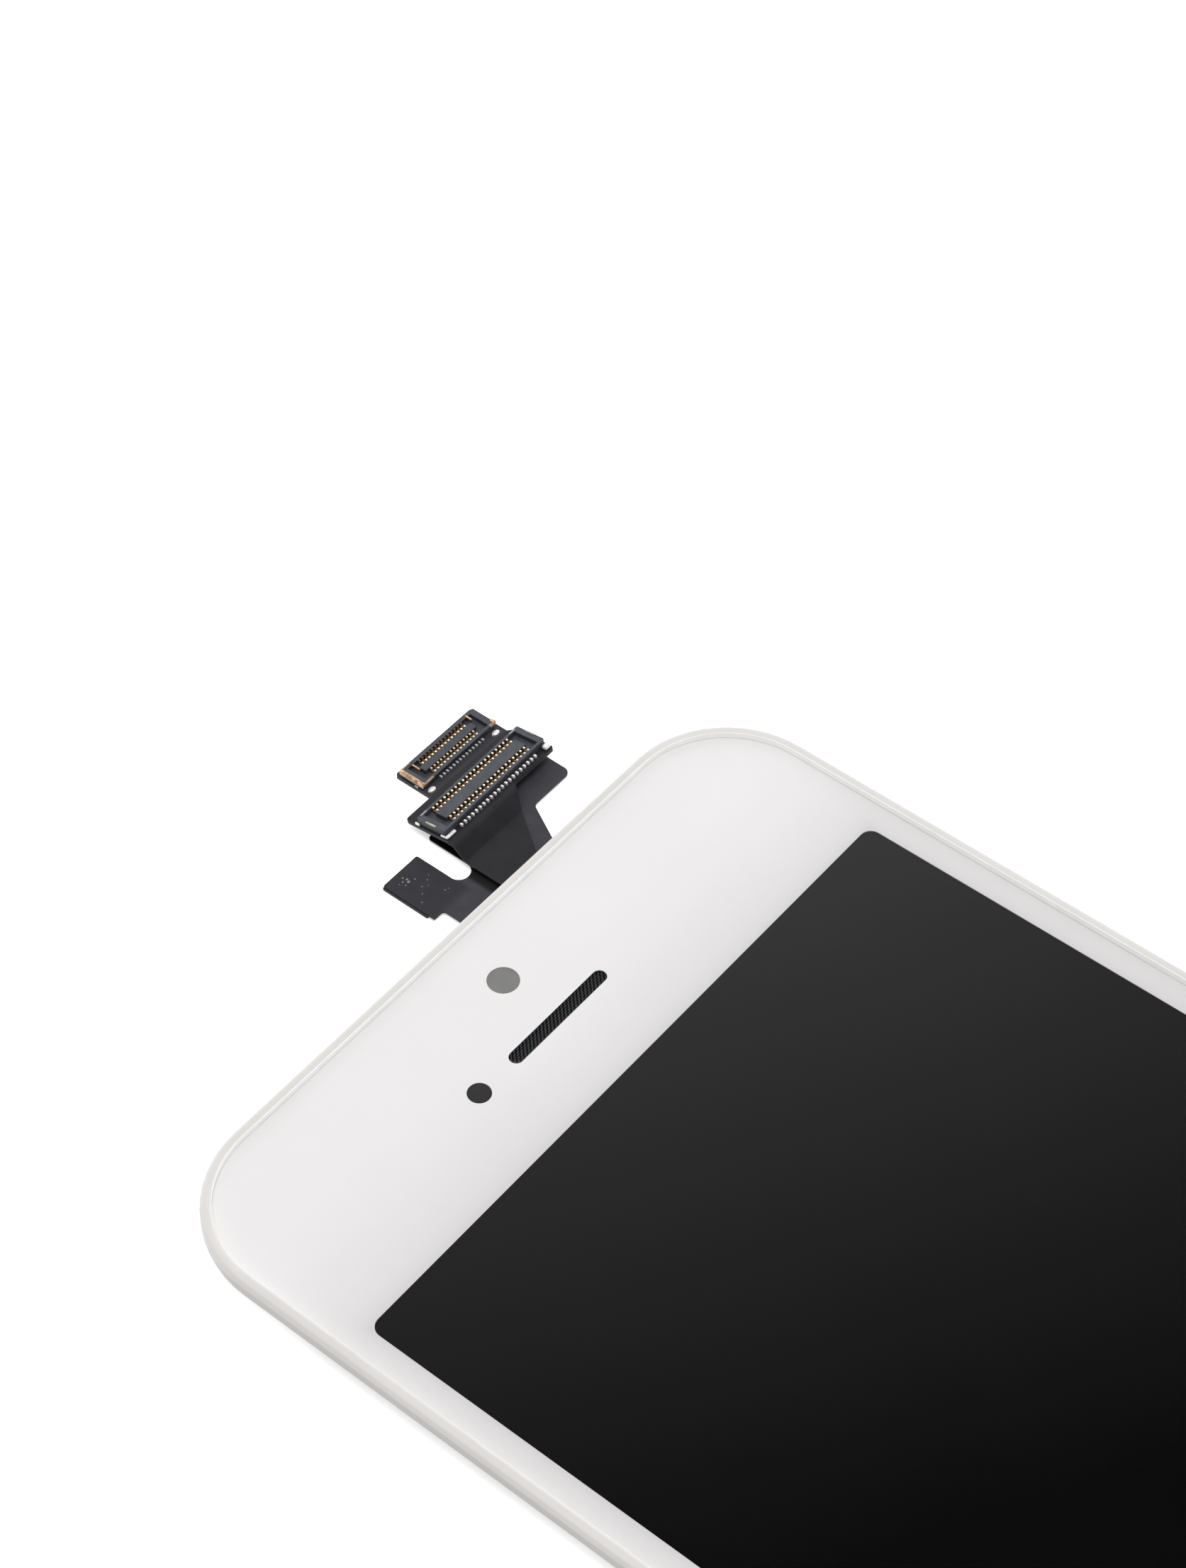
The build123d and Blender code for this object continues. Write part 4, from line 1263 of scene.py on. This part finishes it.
# Hold-downs of the connector next to the panel: plated strips along the end walls and
# the far wall, with feet soldered to the board in white fillets at the four corners.
solder_finish = mottled(
    "bright_solder",
    dark=(0.86, 0.81, 0.80),
    light=(0.95, 0.92, 0.92),
    blotch=0.0003,
    grain=0.0001,
    grain_depth=0.000004,
    Metallic=0.3,
    Roughness=0.5,
)
olive_finish = mottled(
    "olive_plate",
    dark=(0.30, 0.30, 0.22),
    light=(0.58, 0.57, 0.48),
    blotch=0.0003,
    grain=0.00006,
    grain_depth=0.000002,
    Metallic=0.8,
    Roughness=0.42,
)
dull_finish = mottled(
    "dull_plate",
    dark=(0.24, 0.25, 0.29),
    light=(0.36, 0.37, 0.42),
    blotch=0.0003,
    grain=0.00006,
    grain_depth=0.000002,
    Metallic=0.6,
    Roughness=0.5,
)


def end_strip(half_length, end, low, high, finish, blunt):
    """A strip at one end of a connector, in mm. Its X is measured inwards from the end wall."""
    across = sorted(end * (half_length - x * MM) for x in (low[0], high[0]))
    low_corner = (across[0], low[1] * MM, low[2] * MM)
    high_corner = (across[1], high[1] * MM, high[2] * MM)
    strip = leaf("strip", low_corner, high_corner, finish, blunt * MM, segments=2)
    smooth_below(50.0)
    return strip


def end_metal(name, half_length, left, right):
    """The strips at the left and at the right end of a connector, joined."""
    strips = []
    for end, forms in ((-1, left), (1, right)):
        for form in forms:
            strips.append(end_strip(half_length, end, *form))
    return join(name, strips)


near_half = 5.45 * MM
shared_forms = (
    ((0.32, 1.06, 0.40), (0.96, 1.20, 0.565), dull_finish, 0.03),
    ((-0.13, 0.96, 0.00), (-0.02, 1.34, 0.20), solder_finish, 0.04),
)
left_forms = (
    ((0.00, -0.45, 0.50), (0.13, 0.45, 0.56), olive_finish, 0.02),
    ((-0.12, -1.50, 0.00), (0.02, -0.90, 0.15), solder_finish, 0.06),
    ((-0.12, -1.58, 0.00), (0.86, -1.30, 0.19), solder_finish, 0.09),
)
right_forms = (
    ((0.00, -0.45, 0.50), (0.13, 0.45, 0.56), dull_finish, 0.02),
    ((-0.03, -1.80, 0.00), (0.56, -1.34, 0.34), solder_finish, 0.15),
)
fittings = end_metal(
    "near_hold_downs", near_half, shared_forms + left_forms, shared_forms + right_forms
)
settle(fittings, near_seat)
fit(fittings, None, "tinned_metal", "near_connector_fittings")

# End caps of the small connector: copper-coloured plated strips. One laps over the
# left end wall, and each has a return on the wall and a finger into the end pocket.
copper_finish = mottled(
    "copper_plate",
    dark=(0.17, 0.12, 0.07),
    light=(0.86, 0.55, 0.36),
    blotch=0.0003,
    grain=0.00006,
    grain_depth=0.000003,
    Metallic=1.0,
    Roughness=0.42,
)
brown_finish = mottled(
    "brown_plate",
    dark=(0.22, 0.16, 0.13),
    light=(0.40, 0.27, 0.22),
    blotch=0.0003,
    grain=0.00006,
    grain_depth=0.000002,
    Metallic=0.8,
    Roughness=0.5,
)
far_half = 3.85 * MM
left_cap = (
    ((-0.09, -1.10, 0.26), (-0.01, 1.06, 0.42), brown_finish, 0.02),
    ((-0.10, -1.12, 0.37), (0.24, 1.08, 0.56), copper_finish, 0.06),
    ((0.22, -1.14, 0.42), (1.12, -0.94, 0.55), brown_finish, 0.03),
    ((0.22, 0.98, 0.44), (1.00, 1.10, 0.55), brown_finish, 0.03),
    ((0.92, 0.12, 0.32), (1.06, 0.80, 0.53), copper_finish, 0.03),
    ((-0.11, -0.64, 0.00), (-0.01, -0.34, 0.14), olive_finish, 0.03),
)
right_cap = (
    ((-0.12, -1.05, 0.24), (0.16, -0.62, 0.56), copper_finish, 0.06),
    ((0.10, -1.15, 0.40), (0.58, -0.90, 0.56), brown_finish, 0.04),
    ((0.80, 0.40, 0.32), (0.94, 1.06, 0.53), copper_finish, 0.03),
)
caps = end_metal("far_end_caps", far_half, left_cap, right_cap)
settle(caps, far_seat)
fit(caps, None, "copper_metal", "far_connector_caps")

# Solder: bright domes on the end board, at the feet of the small connector's caps. The
# tin was melted there, drew up into a low round heap and set.
solder_low, solder_high = box_of("solder_pads")
dome_inset = 0.33 * MM
dome_length = 0.72 * MM
dome_width = solder_high.y - solder_low.y + 0.04 * MM
dome_height = 0.16 * MM
dome_size = (dome_length / 2, dome_width / 2, dome_height)
dome_y = (solder_low.y + solder_high.y) / 2
domes = []
for dome_x in (solder_low.x + dome_inset, solder_high.x - dome_inset):
    dome_centre = (dome_x, dome_y, solder_low.z)
    domes.append(blister(dome_centre, dome_size, solder_low.z, segments=24, ring_count=12))
    smooth_below(50.0)
solder = join("solder_domes", domes)
fit(solder, solder_finish, "solder", "solder_pads")
